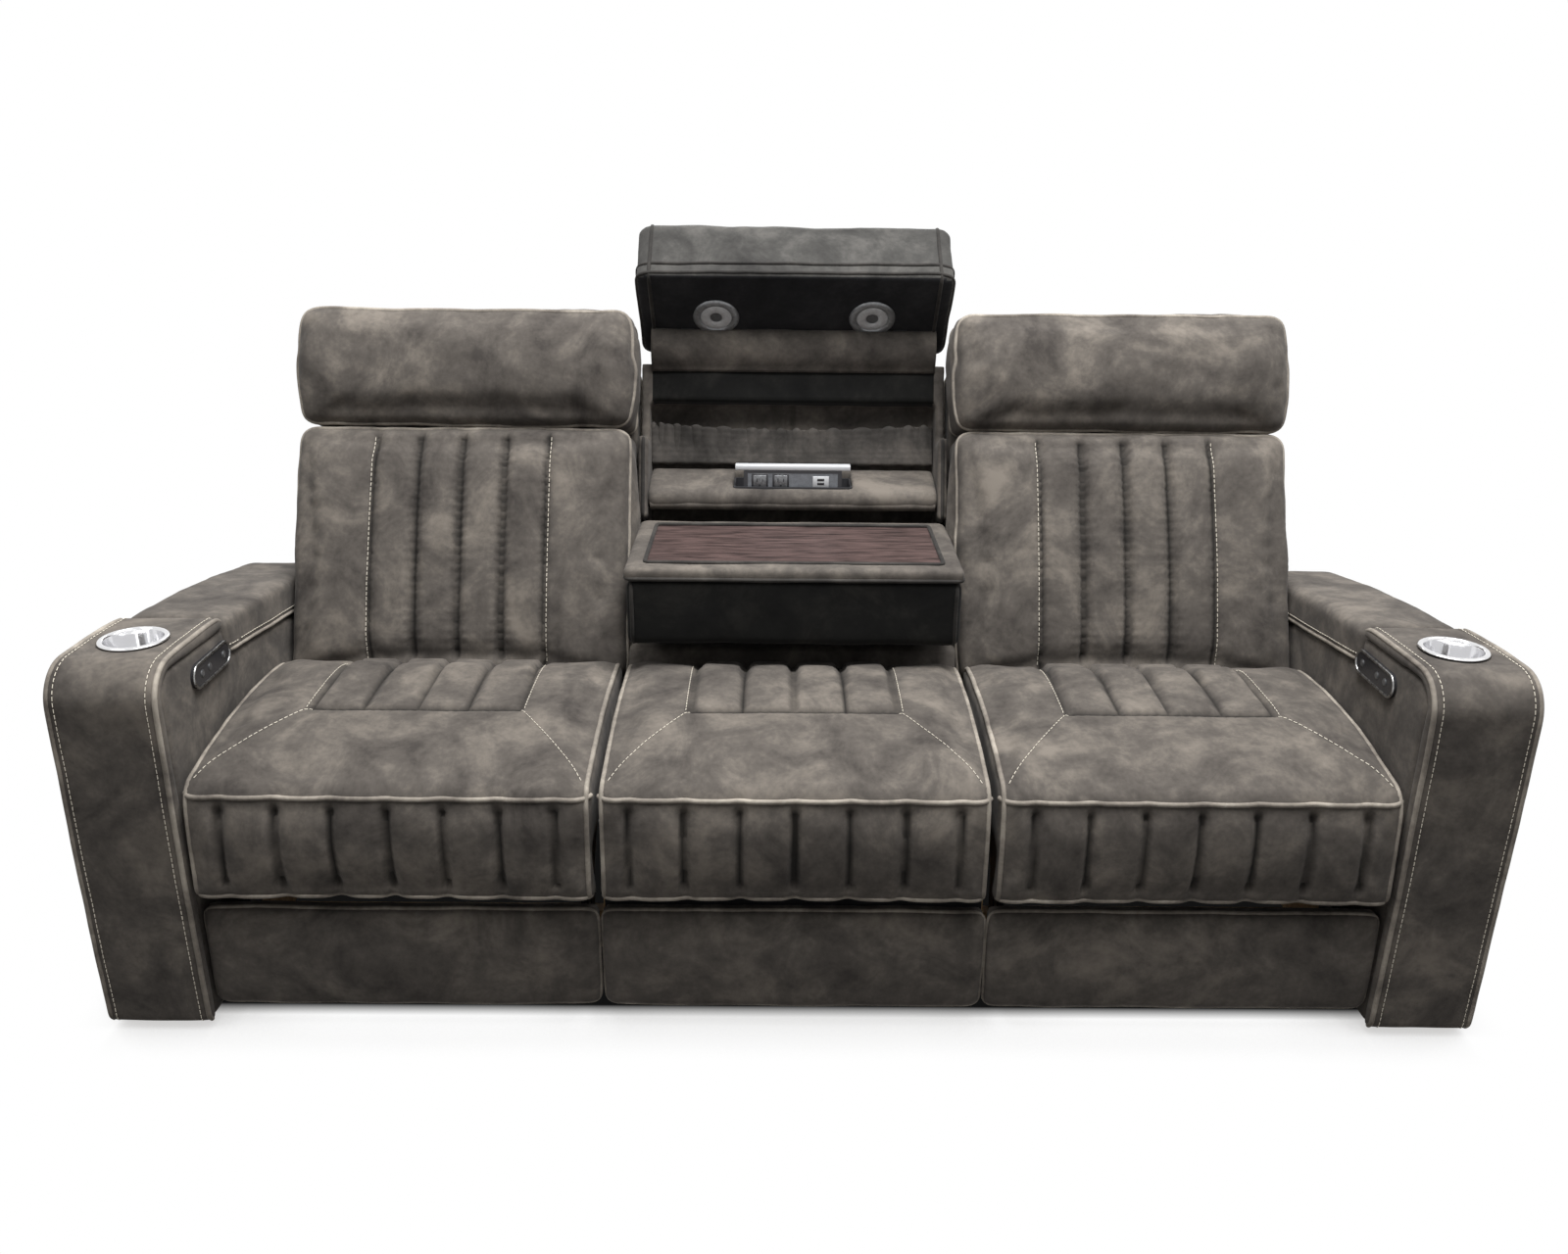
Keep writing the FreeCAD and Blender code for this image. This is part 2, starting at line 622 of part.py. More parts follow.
def make_footrest(side, centre):
    """The footrest panel and the two-stage scissor that carries it, once at each side of the seat."""
    spot = link_places(size.link_closed)
    pin_radius = size.link_pin / 2
    bore = pin_radius + 0.35
    thick = size.link_thick
    rear_links, cross_links, front_cross, brackets = [], [], [], []
    half, flange_width = SEAT_HALF - size.plate_inset, 24
    for hand in (-1, 1):
        plate_x = centre + hand * half - (thick if hand > 0 else 0)
        inward = -hand
        layer = thick + 0.6

        def sheet_x(number):
            return plate_x + inward * layer * number

        near, far = sheet_x(1), sheet_x(2)
        rear_links.append(bar(spot["root"], spot["lower"], near, thick, size.link_width, [(0.5, bore)]))
        rear_links.append(pin(spot["lower"], min(near, far), layer + thick, pin_radius))
        cross_links.append(bar(spot["slot"], spot["upper"], far, thick, size.link_width))
        cross_links.append(pin((spot["slot"] + spot["upper"]) * 0.5, min(near, far), layer + thick, pin_radius))
        cross_links.append(pin(spot["upper"], min(near, far), layer + thick, pin_radius))
        cross_links.append(pin(spot["slot"], min(plate_x, far), 2 * layer + thick, pin_radius))
        crossing = (spot["lower"] + spot["upper_end"]) * 0.5
        front_cross.append(bar(spot["lower"], crossing, far, thick, size.link_width, [(0, bore)]))
        front_cross.append(pin(crossing, min(near, far), layer + thick, pin_radius))
        brackets.append(bar(spot["upper"], spot["lower_end"], near, thick, size.link_width,
                            [(0, bore), (0.5, bore)]))
        panel_rear = FRONT + size.footrest_recess + size.footrest_thick
        end = spot["lower_end"]
        tongue = plate([(end.x + 4, end.y - 6), (end.x + 4, end.y + 44), (panel_rear, end.y + 88),
                        (panel_rear, end.y + 14)], near, thick)
        flange_x = near if hand < 0 else near + thick - flange_width
        flange = Part.makeBox(flange_width, 3, 74, Vector(flange_x, panel_rear, end.y + 14))
        brackets += [tongue, flange]
    tube_length = 2 * (half - thick) - 0.6 * 2
    tube = pin(spot["root"], centre - tube_length / 2, tube_length, 6)
    stubs = [pin(spot["root"], centre - half, thick + 0.6, pin_radius),
             pin(spot["root"], centre + half - thick - 0.6, thick + 0.6, pin_radius)]
    make_node("rear_links_" + side, rear_links + [tube] + stubs)
    make_node("cross_links_" + side, cross_links)
    make_node("front_cross_" + side, front_cross)
    make_node("footrest_links_" + side, brackets)
    make_panel("footrest_" + side, centre, SEAT_HALF)


def make_node(name, shapes):
    """Fuses shapes that touch; those that don't stay separate solids of one node."""
    whole = shapes[0].multiFuse(shapes[1:]).removeSplitter() if len(shapes) > 1 else shapes[0]
    return keep(shaped(name, whole), name)


def make_panel(name, centre, half):
    """A padded front panel: plain and slightly crowned."""
    face = FRONT + size.footrest_recess
    corners = [
        (face, size.footrest_low, 9, 2),
        (face + size.footrest_thick, size.footrest_low, 3, 0),
        (face + size.footrest_thick, size.footrest_high, 3, 0),
        (face, size.footrest_high, 9, 5),
    ]
    wires = []
    for x, insets in channel_stations(half, 4, [], (), 0, 14, 6):
        draw = [insets[0], 0, insets[2], insets[3]]
        wires.append(soft_wire(corners, lambda point, x=x: Vector(centre + x, point.x, point.y), draw))
    keep(shaped(name, Part.makeLoft(wires, True, True)), name)


def recline_hinge():
    """Y and Z of the hinge between a seat and its back."""
    return FOOT + size.hinge_back, size.hinge_level


def make_seat_frame(side, centre):
    """The sliding seat frame: two slotted steel side plates, timber rails, cross tube and runners."""
    closed, opened = link_places(size.link_closed), link_places(size.link_open)
    thick = size.link_thick
    half = SEAT_HALF - size.plate_inset
    hinge_y, hinge_z = recline_hinge()
    root = closed["root"]
    toe = closed["slot"]
    low = size.cushion_low - 4
    outline = [
        (toe.x - 20, toe.y - 12), (toe.x + 32, toe.y - 12), (root.x + 46, root.y - 6), (root.x + 90, root.y + 40),
        (hinge_y - 40, hinge_z - 60), (hinge_y + 22, hinge_z - 22), (hinge_y + 22, hinge_z + 18),
        (hinge_y - 20, hinge_z + 18), (FOOT - 110, low), (root.x - 30, low), (root.x - 30, root.y + 30),
    ]
    slot_radius = size.link_pin / 2 + 0.5
    parts = []
    for hand in (-1, 1):
        x = centre + hand * half - (thick if hand > 0 else 0)
        side_plate = plate(outline, x, thick)
        slot = bar(opened["slot"], toe, x - 1, thick + 2, 2 * slot_radius)
        holes = [pin(root, x - 1, thick + 2, slot_radius), pin(Vector(hinge_y, hinge_z, 0), x - 1, thick + 2, 5.5)]
        parts.append(side_plate.cut([slot] + holes))
        runner_width = size.plate_inset - 1
        runner_x = centre + (half if hand > 0 else -half - runner_width)
        runner_y, runner_level = FRONT + size.runner_place, size.base_low + size.runner_height + 1
        parts.append(Part.makeBox(runner_width, size.runner_length, 8, Vector(runner_x, runner_y, runner_level)))
        web_height = hinge_z - 50 - runner_level
        parts.append(Part.makeBox(thick, size.runner_length, web_height, Vector(x, runner_y, runner_level)))
    rail = size.rail_width
    front_rail = FRONT + size.border_thick + 3
    rear_rail = FOOT - 88
    level = size.cushion_low - 3 - 36
    inner = 2 * half
    parts.append(Part.makeBox(inner, rail, 36, Vector(centre - half, front_rail, level)))
    parts.append(Part.makeBox(inner, rail, 36, Vector(centre - half, rear_rail, level)))
    for hand in (-1, 1):
        x = centre + hand * (half - thick - rail / 2) - rail / 2
        parts.append(Part.makeBox(rail, rear_rail - front_rail, 36, Vector(x, front_rail, level)))
    parts.append(Part.makeBox(inner - 2 * thick, 20, 20, Vector(centre - half + thick, root.x + 70, level + 8)))
    make_node("seat_frame_" + side, parts)
    straps = []
    strap, strap_level = 46, size.cushion_low - 3
    for step in range(-2, 3):
        straps.append(Part.makeBox(strap, rear_rail + rail - front_rail, 1.5,
                                   Vector(centre + step * inner / 6 - strap / 2, front_rail, strap_level)))
        middle = (front_rail + rear_rail + rail) / 2 + step * (rear_rail - front_rail) / 6
        straps.append(Part.makeBox(inner, strap, 1.5, Vector(centre - half, middle - strap / 2, strap_level)))
    make_node("seat_webbing_" + side, straps)
    drum = pin(root, centre - 34, 68, 21).fuse(Part.makeBox(46, 96, 44, Vector(centre - 23, root.x, root.y - 12)))
    drum = drum.cut(pin(root, centre - 40, 80, 6.6))
    hanger = Part.makeBox(30, 20, level + 8 - (root.y + 32), Vector(centre - 15, root.x + 70, root.y + 32))
    make_node("gear_motor_" + side, [drum, hanger])


def make_back(side, centre):
    """The reclining back: frame with hinge plates, cushion and headrest."""
    stand = leaning(centre)
    half = SEAT_HALF
    thick = size.link_thick
    low = size.back_low_rise - 25
    corners = [
        (size.cushion_thick + 2, low, 6, 0),
        (size.back_thick, low, 14, 0),
        (size.back_thick, size.frame_rise, 34, 8),
        (size.cushion_thick + 2, size.frame_rise, 10, 0),
    ]
    stations = [(x, [insets[0], insets[1], insets[2], 0]) for x, insets in
                channel_stations(half - 1, 4, [], (), 0, 16, 7)]
    shell = soft_loft(corners, stations)
    shell.Placement = stand
    hinge_y, hinge_z = recline_hinge()
    frame_set, cushion_rise = size.cushion_thick + 4, size.back_low_rise - 6
    grip = [lean_point(*spot) for spot in ((frame_set + 41, low + 3), (frame_set + 41, cushion_rise + 46),
                                           (frame_set, cushion_rise + 46), (frame_set, cushion_rise))]
    pieces = [shell]
    for hand in (-1, 1):
        x = centre + hand * (SEAT_HALF - size.plate_inset - thick - 1) - (thick if hand > 0 else 0)
        x = x if hand > 0 else centre - (SEAT_HALF - size.plate_inset - thick - 1)
        arm_plate = plate([(hinge_y - 14, hinge_z - 10), (hinge_y + 8, hinge_z - 16)] + grip
                          + [(hinge_y - 4, hinge_z + 16)], x, thick)
        pivot_x = centre + hand * (SEAT_HALF - size.plate_inset - thick - 1)
        pivot = pin(Vector(hinge_y, hinge_z, 0), min(pivot_x, pivot_x + hand * (thick + 1)), thick + 1, 5)
        pieces += [arm_plate, pivot]
    make_node("back_frame_" + side, pieces)
    seams = [step * size.back_channel_pitch for step in range(-2, 3)]
    lean_cushion("back_cushion_" + side, stand, half, size.back_low_rise, size.head_rise - 4, 10, seams,
                 puff=size.cushion_puff, crown=1)
    lean_cushion("headrest_" + side, stand, half, size.head_rise, size.head_rise + size.head_length, 14,
                 top_radius=34)


def make_recliner(side, sign):
    """One recliner seat between the centre and an arm."""
    centre = sign * SEAT_CENTRE
    make_seat_cushion("seat_cushion_" + side, centre, SEAT_HALF)
    make_seat_frame(side, centre)
    make_footrest(side, centre)
    make_back(side, centre)


def console_stand():
    """The placement of the console, modelled in (x, set, rise), folded down about its pivot."""
    upright = leaning()
    pivot = leaning(0, size.console_pivot_set, size.console_pivot_rise).Base
    fold = FreeCAD.Placement(Vector(), FreeCAD.Rotation(Vector(1, 0, 0), size.console_fold), pivot)
    return fold.multiply(upright)


def raised_stand():
    """The placement of the centre headrest, modelled in (x, set, rise), swung up about its hinge."""
    closed = leaning()
    pivot = leaning(0, size.raise_pivot_set, size.raise_pivot_rise).Base
    swing = FreeCAD.Placement(Vector(), FreeCAD.Rotation(Vector(1, 0, 0), -size.raised_turn), pivot)
    return swing.multiply(closed)


def make_console():
    """The drop-down back: padded block, table with its rim and laminate, and end plates with pins."""
    stand = console_stand()
    half = size.console_width / 2
    low, high = size.console_low_rise, size.console_high_rise
    block_half = half - 3
    under = -size.cushion_puff
    deck = under + size.console_thick
    corners = [
        (under, low, 16, 0),
        (deck, low, 4, 0),
        (deck, high, 4, 0),
        (under, high, 16, 6),
    ]
    keep(shaped("console_back", soft_loft(corners, channel_stations(block_half, 4, [], (), 0, 14, 5)), stand),
         "console_back")
    rim_low, rim_high = low + 3, high
    top = deck + size.table_thick
    table = [
        (deck, rim_low, 3, 0),
        (top, rim_low, 9, 0),
        (top, rim_high, 9, 0),
        (deck, rim_high, 3, 0),
    ]
    rim = soft_loft(table, channel_stations(half, 4, [], (), 0, 10, 5))
    inlay_width = size.console_width - 2 * size.table_rim
    inlay_length = rim_high - rim_low - 2 * size.table_rim
    inlay = Part.makeBox(inlay_width, size.laminate_thick, inlay_length,
                         Vector(-inlay_width / 2, top - 1 - size.laminate_thick, rim_low + size.table_rim))
    above = Part.makeBox(inlay_width, 20, inlay_length,
                         Vector(-inlay_width / 2, top - 1, rim_low + size.table_rim))
    keep(shaped("console_table", rim.cut([inlay, above]), stand), "console_table")
    keep(shaped("table_laminate", inlay, stand), "table_laminate")
    arms = []
    set_back, rise = size.console_pivot_set, size.console_pivot_rise
    for hand in (-1, 1):
        x = hand * block_half if hand > 0 else -block_half - 2
        arm = Part.makeBox(2, 44, 150, Vector(x, set_back - 22, rise - 40))
        reach = CENTRE_HALF - 1 - block_half
        shaft = Part.makeCylinder(5, reach, Vector(min(hand * block_half, hand * (block_half + reach)), set_back,
                                                   rise), Vector(1, 0, 0))
        arms += [arm, shaft]
    whole = arms[0].multiFuse(arms[1:]).removeSplitter()
    keep(shaped("console_hinge_arms", whole, stand), "console_hinge_arms")


def make_centre_headrest():
    """The flip-up headrest with its hinge arms, two reading lights and their buttons."""
    stand = raised_stand()
    low, high = size.head_rise + 6, size.head_rise + size.head_length
    rear = size.cushion_thick
    middle = (low + high) / 2 - size.light_offset
    head = lean_cushion("centre_headrest", stand, CENTRE_HALF, low, high, 10, top_radius=30)
    seats = [Part.makeCylinder(size.light_ring / 2 + 0.5, 20, Vector(x, rear - 5, middle), Vector(0, 1, 0))
             for x in (-size.light_spacing / 2, size.light_spacing / 2)]
    padded = head.Shape.copy()
    padded.Placement = FreeCAD.Placement()
    head.Shape = padded.cut(seats)
    head.Placement = stand
    arms = []
    for hand in (-1, 1):
        x = hand * size.raise_arm_place - size.bracket_thick / 2
        pivot_set, pivot_rise = size.raise_pivot_set, size.raise_pivot_rise
        outline = [(rear, pivot_rise - 30), (pivot_set + 3, pivot_rise - 9), (pivot_set + 8, pivot_rise),
                   (pivot_set, pivot_rise + 8), (rear, pivot_rise + 20)]
        points = [Vector(x, u, v) for u, v in outline]
        arms.append(Part.Face(Part.makePolygon(points + points[:1])).extrude(Vector(size.bracket_thick, 0, 0)))
        arms.append(Part.makeCylinder(4, size.bracket_thick + 8, Vector(x - (8 if hand < 0 else 0), pivot_set,
                                                                      pivot_rise), Vector(1, 0, 0)))
        flange_x = x - 22 if hand > 0 else x
        arms.append(Part.makeBox(22 + size.bracket_thick, 2, 66, Vector(flange_x, rear, pivot_rise - 40)))
    whole = arms[0].multiFuse(arms[1:]).removeSplitter()
    keep(shaped("headrest_arms", whole, stand), "headrest_arms")
    lamps = []
    for hand in (-1, 1):
        spot = Vector(hand * size.light_spacing / 2, rear - 5, middle)
        away = Vector(0, 1, 0)
        ring = Part.makeCylinder(size.light_ring / 2, 7, spot, away)
        dish = Part.makeCylinder(size.light_ring / 2 - 13, 4, spot + away * 4.5, away)
        well = Part.makeCylinder(size.light_button / 2 + 0.5, 7, spot + away * 1, away)
        lamps.append(ring.cut([dish, well]))
        side = "left" if hand < 0 else "right"
        button = Part.makeCylinder(size.light_button / 2, 2.5, spot + away * (1 + size.key_travel + 0.3), away)
        keep(shaped("light_button_" + side, button, stand), "light_button_" + side)
    keep(shaped("reading_lights", lamps[0].fuse(lamps[1]), stand), "reading_lights")


def make_niche():
    """The fixed centre back: niche walls, back, top rail and base, with shelf, pocket and brackets."""
    stand = leaning()
    half = CENTRE_HALF
    wall_set = size.console_thick + size.table_thick - size.cushion_puff + 4
    step_set = size.cushion_thick + 6
    back_set = size.back_thick - size.niche_back_thick
    low = -70
    pieces = []
    notch_rise = size.console_pivot_rise + size.console_thick - size.cushion_puff + 10
    step_rise = size.head_rise - 4
    walls = ((step_set, 10, notch_rise), (wall_set, notch_rise, step_rise), (step_set, step_rise, size.wing_rise))
    for x in (-half, half - size.wing_thick):
        for front_set, foot, head in walls:
            pieces.append(Part.makeBox(size.wing_thick, size.back_thick - front_set, head - foot,
                                       Vector(x, front_set, foot)))
    pieces.append(Part.makeBox(2 * half, size.niche_back_thick, size.rail_rise - low, Vector(-half, back_set, low)))
    rail_low = size.rail_rise - size.top_rail_height
    pieces.append(Part.makeBox(2 * half, back_set - step_set, size.top_rail_height,
                               Vector(-half, step_set, rail_low)))
    shell = pieces[0].multiFuse(pieces[1:]).removeSplitter()
    shell.Placement = stand
    top = size.seat_height + 8
    base_front = FOOT - size.cushion_puff / math.cos(LEAN) - 8
    base_rear = FOOT + back_set / math.cos(LEAN)
    base = [
        (base_front - 40, size.cushion_low),
        (base_rear - 55, size.cushion_low),
        (base_rear + 2, top),
        (base_front + 24, top),
        (base_front, size.seat_height - 30),
    ]
    cushion = plate(base, -half, 2 * half)
    keep(shaped("niche_frame", cushion.fuse(shell).removeSplitter()), "niche_frame")

    rear_y, rear_z = lean_point(back_set - 1, 0)

    def rear_at(level):
        return rear_y + (level - rear_z) * math.tan(LEAN)

    inner = half - size.wing_thick - 1
    rise = math.tan(math.radians(size.shelf_slope))
    front_y = FOOT + size.shelf_place
    front_low = size.shelf_level
    rear_low = front_low + rise * 110
    rear_high = rear_low + size.shelf_thick + 8
    shelf = [
        (front_y, front_low, 12, 0),
        (rear_at(rear_low), rear_low, 0, 0),
        (rear_at(rear_high), rear_high, 6, 4),
        (front_y + 12, front_low + size.shelf_thick, 12, 2),
    ]
    wires = []
    for x, insets in channel_stations(inner, 4, [], (), 0, 6, 3):
        wires.append(soft_wire(shelf, lambda point, x=x: Vector(x, point.x, point.y),
                               [insets[0], 0, insets[2], insets[3]]))
    dock_y = front_y + size.dock_place
    deck = front_low + size.shelf_thick + size.dock_place * rise
    recess = Part.makeBox(size.dock_width + 44, 84, 60, Vector(-(size.dock_width + 44) / 2, dock_y - 18, deck - 30))
    padded = Part.makeLoft(wires, True, True).cut(recess)
    keep(shaped("console_shelf", padded), "console_shelf")
    make_dock(dock_y, deck)

    pocket_low = rear_high + 3
    foot_set = back_set - 2
    pocket = [
        (foot_set - 2, 0), (foot_set - size.pocket_depth, 0), (foot_set - size.pocket_depth, size.pocket_height),
        (foot_set - size.pocket_depth + 4, size.pocket_height), (foot_set - size.pocket_depth + 4, 4),
        (foot_set - 2, 4),
    ]
    pocket_rise = (pocket_low - size.seat_height) / math.cos(LEAN) + foot_set * math.tan(LEAN)
    points = [Vector(-inner, u, v + pocket_rise) for u, v in pocket]
    sling = Part.Face(Part.makePolygon(points + points[:1])).extrude(Vector(2 * inner, 0, 0))
    cheeks = [Part.makeBox(4, size.pocket_depth - 2, size.pocket_height,
                           Vector(x, foot_set - size.pocket_depth, pocket_rise)) for x in (-inner, inner - 4)]
    keep(shaped("niche_pocket", sling.multiFuse(cheeks).removeSplitter(), stand), "niche_pocket")
    make_brackets(top)


def make_dock(dock_y, deck):
    """The flip-up power dock in its recess: housing, body with its bar, and the socket face."""
    inner = size.dock_width / 2 + 17
    wall = 3
    outer = inner + wall
    box = Part.makeBox(2 * outer, 80, 28, Vector(-outer, dock_y - 16, deck - 29))
    room = Part.makeBox(2 * inner, 80 - 2 * wall, 28, Vector(-inner, dock_y - 16 + wall, deck - 29 + wall))
    keep(shaped("dock_housing", box.cut(room)), "dock_housing")
    half = size.dock_width / 2
    pivot_y, pivot_z = dock_pivot(dock_y, deck)
    front = pivot_y - size.dock_thick / 2
    body = Part.makeBox(2 * half, size.dock_thick, size.dock_height, Vector(-half, front, pivot_z - 4))
    bar_piece = Part.makeBox(2 * half + 26, size.dock_thick, 9,
                             Vector(-half - 13, front, pivot_z - 4 + size.dock_height))
    shaft = Part.makeCylinder(3, 2 * inner - 1, Vector(-inner + 0.5, pivot_y, pivot_z), Vector(1, 0, 0))
    face_room = Part.makeBox(2 * half - 16, 3, size.dock_height - 14, Vector(-half + 8, front, pivot_z + 4))
    dock = body.multiFuse([bar_piece, shaft]).cut(face_room).removeSplitter()
    keep(shaped("power_dock", dock), "power_dock")
    face = Part.makeBox(2 * half - 16, 2.6, size.dock_height - 14, Vector(-half + 8, front + 0.4, pivot_z + 4))
    slots = []
    for x in (-66, -24):
        slots.append(Part.makeBox(26, 1, 24, Vector(x - 13, front + 0.4, pivot_z + 9)))
    slots.append(Part.makeBox(30, 1, 14, Vector(41, front + 0.4, pivot_z + 14)))
    keep(shaped("dock_sockets", face.cut(slots)), "dock_sockets")


def dock_pivot(dock_y, deck):
    """Y and Z of the shaft on which the dock flips."""
    return dock_y, deck - 12


def make_brackets(top):
    """Fixed steel: two plates that carry the console's pins and two that carry the headrest's arms."""
    pivot = leaning(0, size.console_pivot_set, size.console_pivot_rise).Base
    thick = size.bracket_thick
    raise_pivot = leaning(0, size.raise_pivot_set, size.raise_pivot_rise).Base
    pieces = []
    for hand in (-1, 1):
        x = hand * (CENTRE_HALF - 1) - (thick if hand > 0 else 0)
        cheek = plate([(pivot.y - 55, top), (pivot.y + 12, top), (pivot.y + 16, pivot.z + 8),
                       (pivot.y + 6, pivot.z + 16), (pivot.y - 12, pivot.z + 16), (pivot.y - 18, pivot.z + 4)],
                      x, thick)
        pieces.append(cheek.cut(Part.makeCylinder(5.4, thick + 2, Vector(x - 1, pivot.y, pivot.z),
                                                  Vector(1, 0, 0))))
        arm_x = hand * size.raise_arm_place - thick / 2
        x = arm_x - thick - 1.5 if hand < 0 else arm_x + thick + 1.5
        pivot_set, pivot_rise = size.raise_pivot_set, size.raise_pivot_rise
        outline = [(pivot_set - 3, size.rail_rise), (pivot_set + 20, size.rail_rise),
                   (pivot_set + 8, pivot_rise), (pivot_set, pivot_rise + 7), (pivot_set - 7, pivot_rise)]
        ear = plate([lean_point(*spot) for spot in outline], x, thick)
        pieces.append(ear.cut(Part.makeCylinder(4.4, thick + 2, Vector(x - 1, raise_pivot.y, raise_pivot.z),
                                                Vector(1, 0, 0))))
    make_node("steel_brackets", pieces)


def make_base():
    """The timber base across the whole sofa and its floor glides."""
    rail, low = size.rail_width, size.base_low
    reach = f"({ARM_INNER_TEXT} + 2)"
    front_y, rear_y = f"({FRONT_TEXT} + 185)", f"({FRONT_TEXT} + arm_length - 20)"
    length = f"({rear_y} - {front_y})"
    pieces = [
        block("front_rail", f"2 * {reach}", "rail_width", "rail_height", f"0 - {reach}", front_y, "base_low"),
        block("rear_panel", f"2 * {reach}", "20", "rear_panel_top - base_low", f"0 - {reach}", rear_y, "base_low"),
    ]
    boards = (
        ("board_outer_left", f"0 - {ARM_INNER_TEXT}"),
        ("board_inner_left", "0 - centre_width / 2 - rail_width / 2"),
        ("board_inner_right", "centre_width / 2 - rail_width / 2"),
        ("board_outer_right", f"{ARM_INNER_TEXT} - rail_width"),
    )
    for name, x in boards:
        pieces.append(block(name, "rail_width", length, "runner_height", x, front_y, "base_low"))
    centre_reach = "(centre_width / 2 - section_gap / 2)"
    rail_y = f"({FRONT_TEXT} + footrest_recess + footrest_thick + 1)"
    for name, y in (("seat_rail_front", rail_y), ("seat_rail_rear", rear_y)):
        pieces.append(block(name, f"2 * {centre_reach}", "rail_width", "cushion_low - 3 - base_low", f"0 - {centre_reach}", y,
                            "base_low"))
    for hand, name in ((-1, "seat_board_left"), (1, "seat_board_right")):
        x = "0 - centre_width / 2 + 14" if hand < 0 else "centre_width / 2 - 14 - rail_width"
        pieces.append(block(name, "rail_width", f"({rear_y} - {rail_y})",
                            "cushion_low - 3 - base_low - runner_height", x, rail_y,
                            "base_low + runner_height"))
    timber = fuse("timber", pieces)
    doc.recompute()
    keep(timber, "base_frame")
    glides = []
    spots = [(x, y) for x in (-ARM_INNER + 24, -size.centre_width / 2, size.centre_width / 2, ARM_INNER - 24)
             for y in (FRONT + 205, FRONT + size.arm_length - 40)]
    spots += [(sign * ARM_CENTRE, y) for sign in (-1, 1) for y in (FRONT + 60, FRONT + size.arm_length - 60)]
    for x, y in spots:
        height = size.arm_foot if abs(x) > ARM_INNER else size.base_low
        radius = size.glide_width / 2
        glides.append(Part.makeCone(radius - 5, radius, height, Vector(x, y, 0)))
    keep(shaped("floor_glides", Part.makeCompound(glides)), "floor_glides")


def make_centre():
    """The centre section between the two recliners."""
    make_seat_cushion("centre_seat", 0, CENTRE_HALF)
    make_panel("centre_front_panel", 0, CENTRE_HALF)
    make_niche()
    make_console()
    make_centre_headrest()


make_base()
make_centre()
for arm_side, arm_sign in SIDES:
    make_arm(arm_side, arm_sign)
    make_recliner(arm_side, arm_sign)


def check_and_write():
    """Stops on any failed object or unsound shape, then writes each node."""
    doc.recompute()
    for item in doc.Objects:
        if "Invalid" in item.State or "Error" in item.State:
            raise RuntimeError(f"{item.Label} failed: {item.State}")
    for node in nodes:
        if node.Shape.isNull() or not node.Shape.isValid():
            raise RuntimeError(f"{node.Label} has no sound shape")
    for node in nodes:
        node.Shape.exportStep(f"parts/{node.Label}.step")
    print(len(nodes), "nodes")


check_and_write()
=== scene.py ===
import logging
import math
from dataclasses import dataclass, field
from enum import Enum
from typing import Callable, Iterable, Sequence

import bmesh
import bpy
import numpy as np
from mathutils import Matrix, Vector, noise
from mathutils.bvhtree import BVHTree

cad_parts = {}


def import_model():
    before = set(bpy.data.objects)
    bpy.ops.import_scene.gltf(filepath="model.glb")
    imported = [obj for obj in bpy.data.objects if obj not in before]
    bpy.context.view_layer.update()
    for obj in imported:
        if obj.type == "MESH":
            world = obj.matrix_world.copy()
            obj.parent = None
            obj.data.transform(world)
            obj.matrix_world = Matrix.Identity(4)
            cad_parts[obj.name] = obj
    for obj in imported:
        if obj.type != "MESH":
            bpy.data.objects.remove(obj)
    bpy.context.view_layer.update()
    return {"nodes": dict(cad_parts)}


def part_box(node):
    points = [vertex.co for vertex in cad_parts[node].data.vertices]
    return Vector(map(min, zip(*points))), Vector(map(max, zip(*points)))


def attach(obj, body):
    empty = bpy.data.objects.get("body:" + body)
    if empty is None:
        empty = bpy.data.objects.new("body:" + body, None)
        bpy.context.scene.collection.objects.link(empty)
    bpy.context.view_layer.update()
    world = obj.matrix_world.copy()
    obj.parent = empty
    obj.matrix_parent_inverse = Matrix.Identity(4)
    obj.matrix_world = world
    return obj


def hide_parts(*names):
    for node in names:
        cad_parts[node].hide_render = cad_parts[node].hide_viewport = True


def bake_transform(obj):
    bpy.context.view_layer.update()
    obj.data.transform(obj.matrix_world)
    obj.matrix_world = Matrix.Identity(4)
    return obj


LOG = logging.getLogger("sofa")
Colour = tuple[float, float, float]
Path = list[Vector]
Test = Callable[[Vector], bool]

FRONT = -0.513
FOOT = 0.021
SEAT_HEIGHT = 0.476
LEAN = math.radians(20.0)
SEAT_MIDDLE = 0.6285
RAISE_PIVOT = (0.160, 0.6055)
RAISED_TURN = math.radians(121.0)


class Side(Enum):
    """The two mirrored halves of the sofa."""

    LEFT = -1
    RIGHT = 1

    @property
    def word(self) -> str:
        """The word that ends the names of this side's nodes."""
        return self.name.lower()


def srgb(red: int, green: int, blue: int) -> Colour:
    """Turns a colour as seen on a screen into the linear one that a shader takes.

    Args:
        red: Red from 0 to 255.
        green: Green from 0 to 255.
        blue: Blue from 0 to 255.

    Returns:
        The three linear values.
    """
    values = [channel / 255 for channel in (red, green, blue)]
    return tuple(v / 12.92 if v <= 0.04045 else ((v + 0.055) / 1.055) ** 2.4 for v in values)


def lean_point(x: float, set_back: float, rise: float) -> Vector:
    """A point of the leaning backs.

    Args:
        x: Place across the sofa.
        set_back: Distance behind the front plane of the backs, square to it.
        rise: Distance up that plane from its foot.

    Returns:
        The point in the sofa's frame.
    """
    cos, sin = math.cos(LEAN), math.sin(LEAN)
    return Vector((x, FOOT + set_back * cos + rise * sin, SEAT_HEIGHT + rise * cos - set_back * sin))


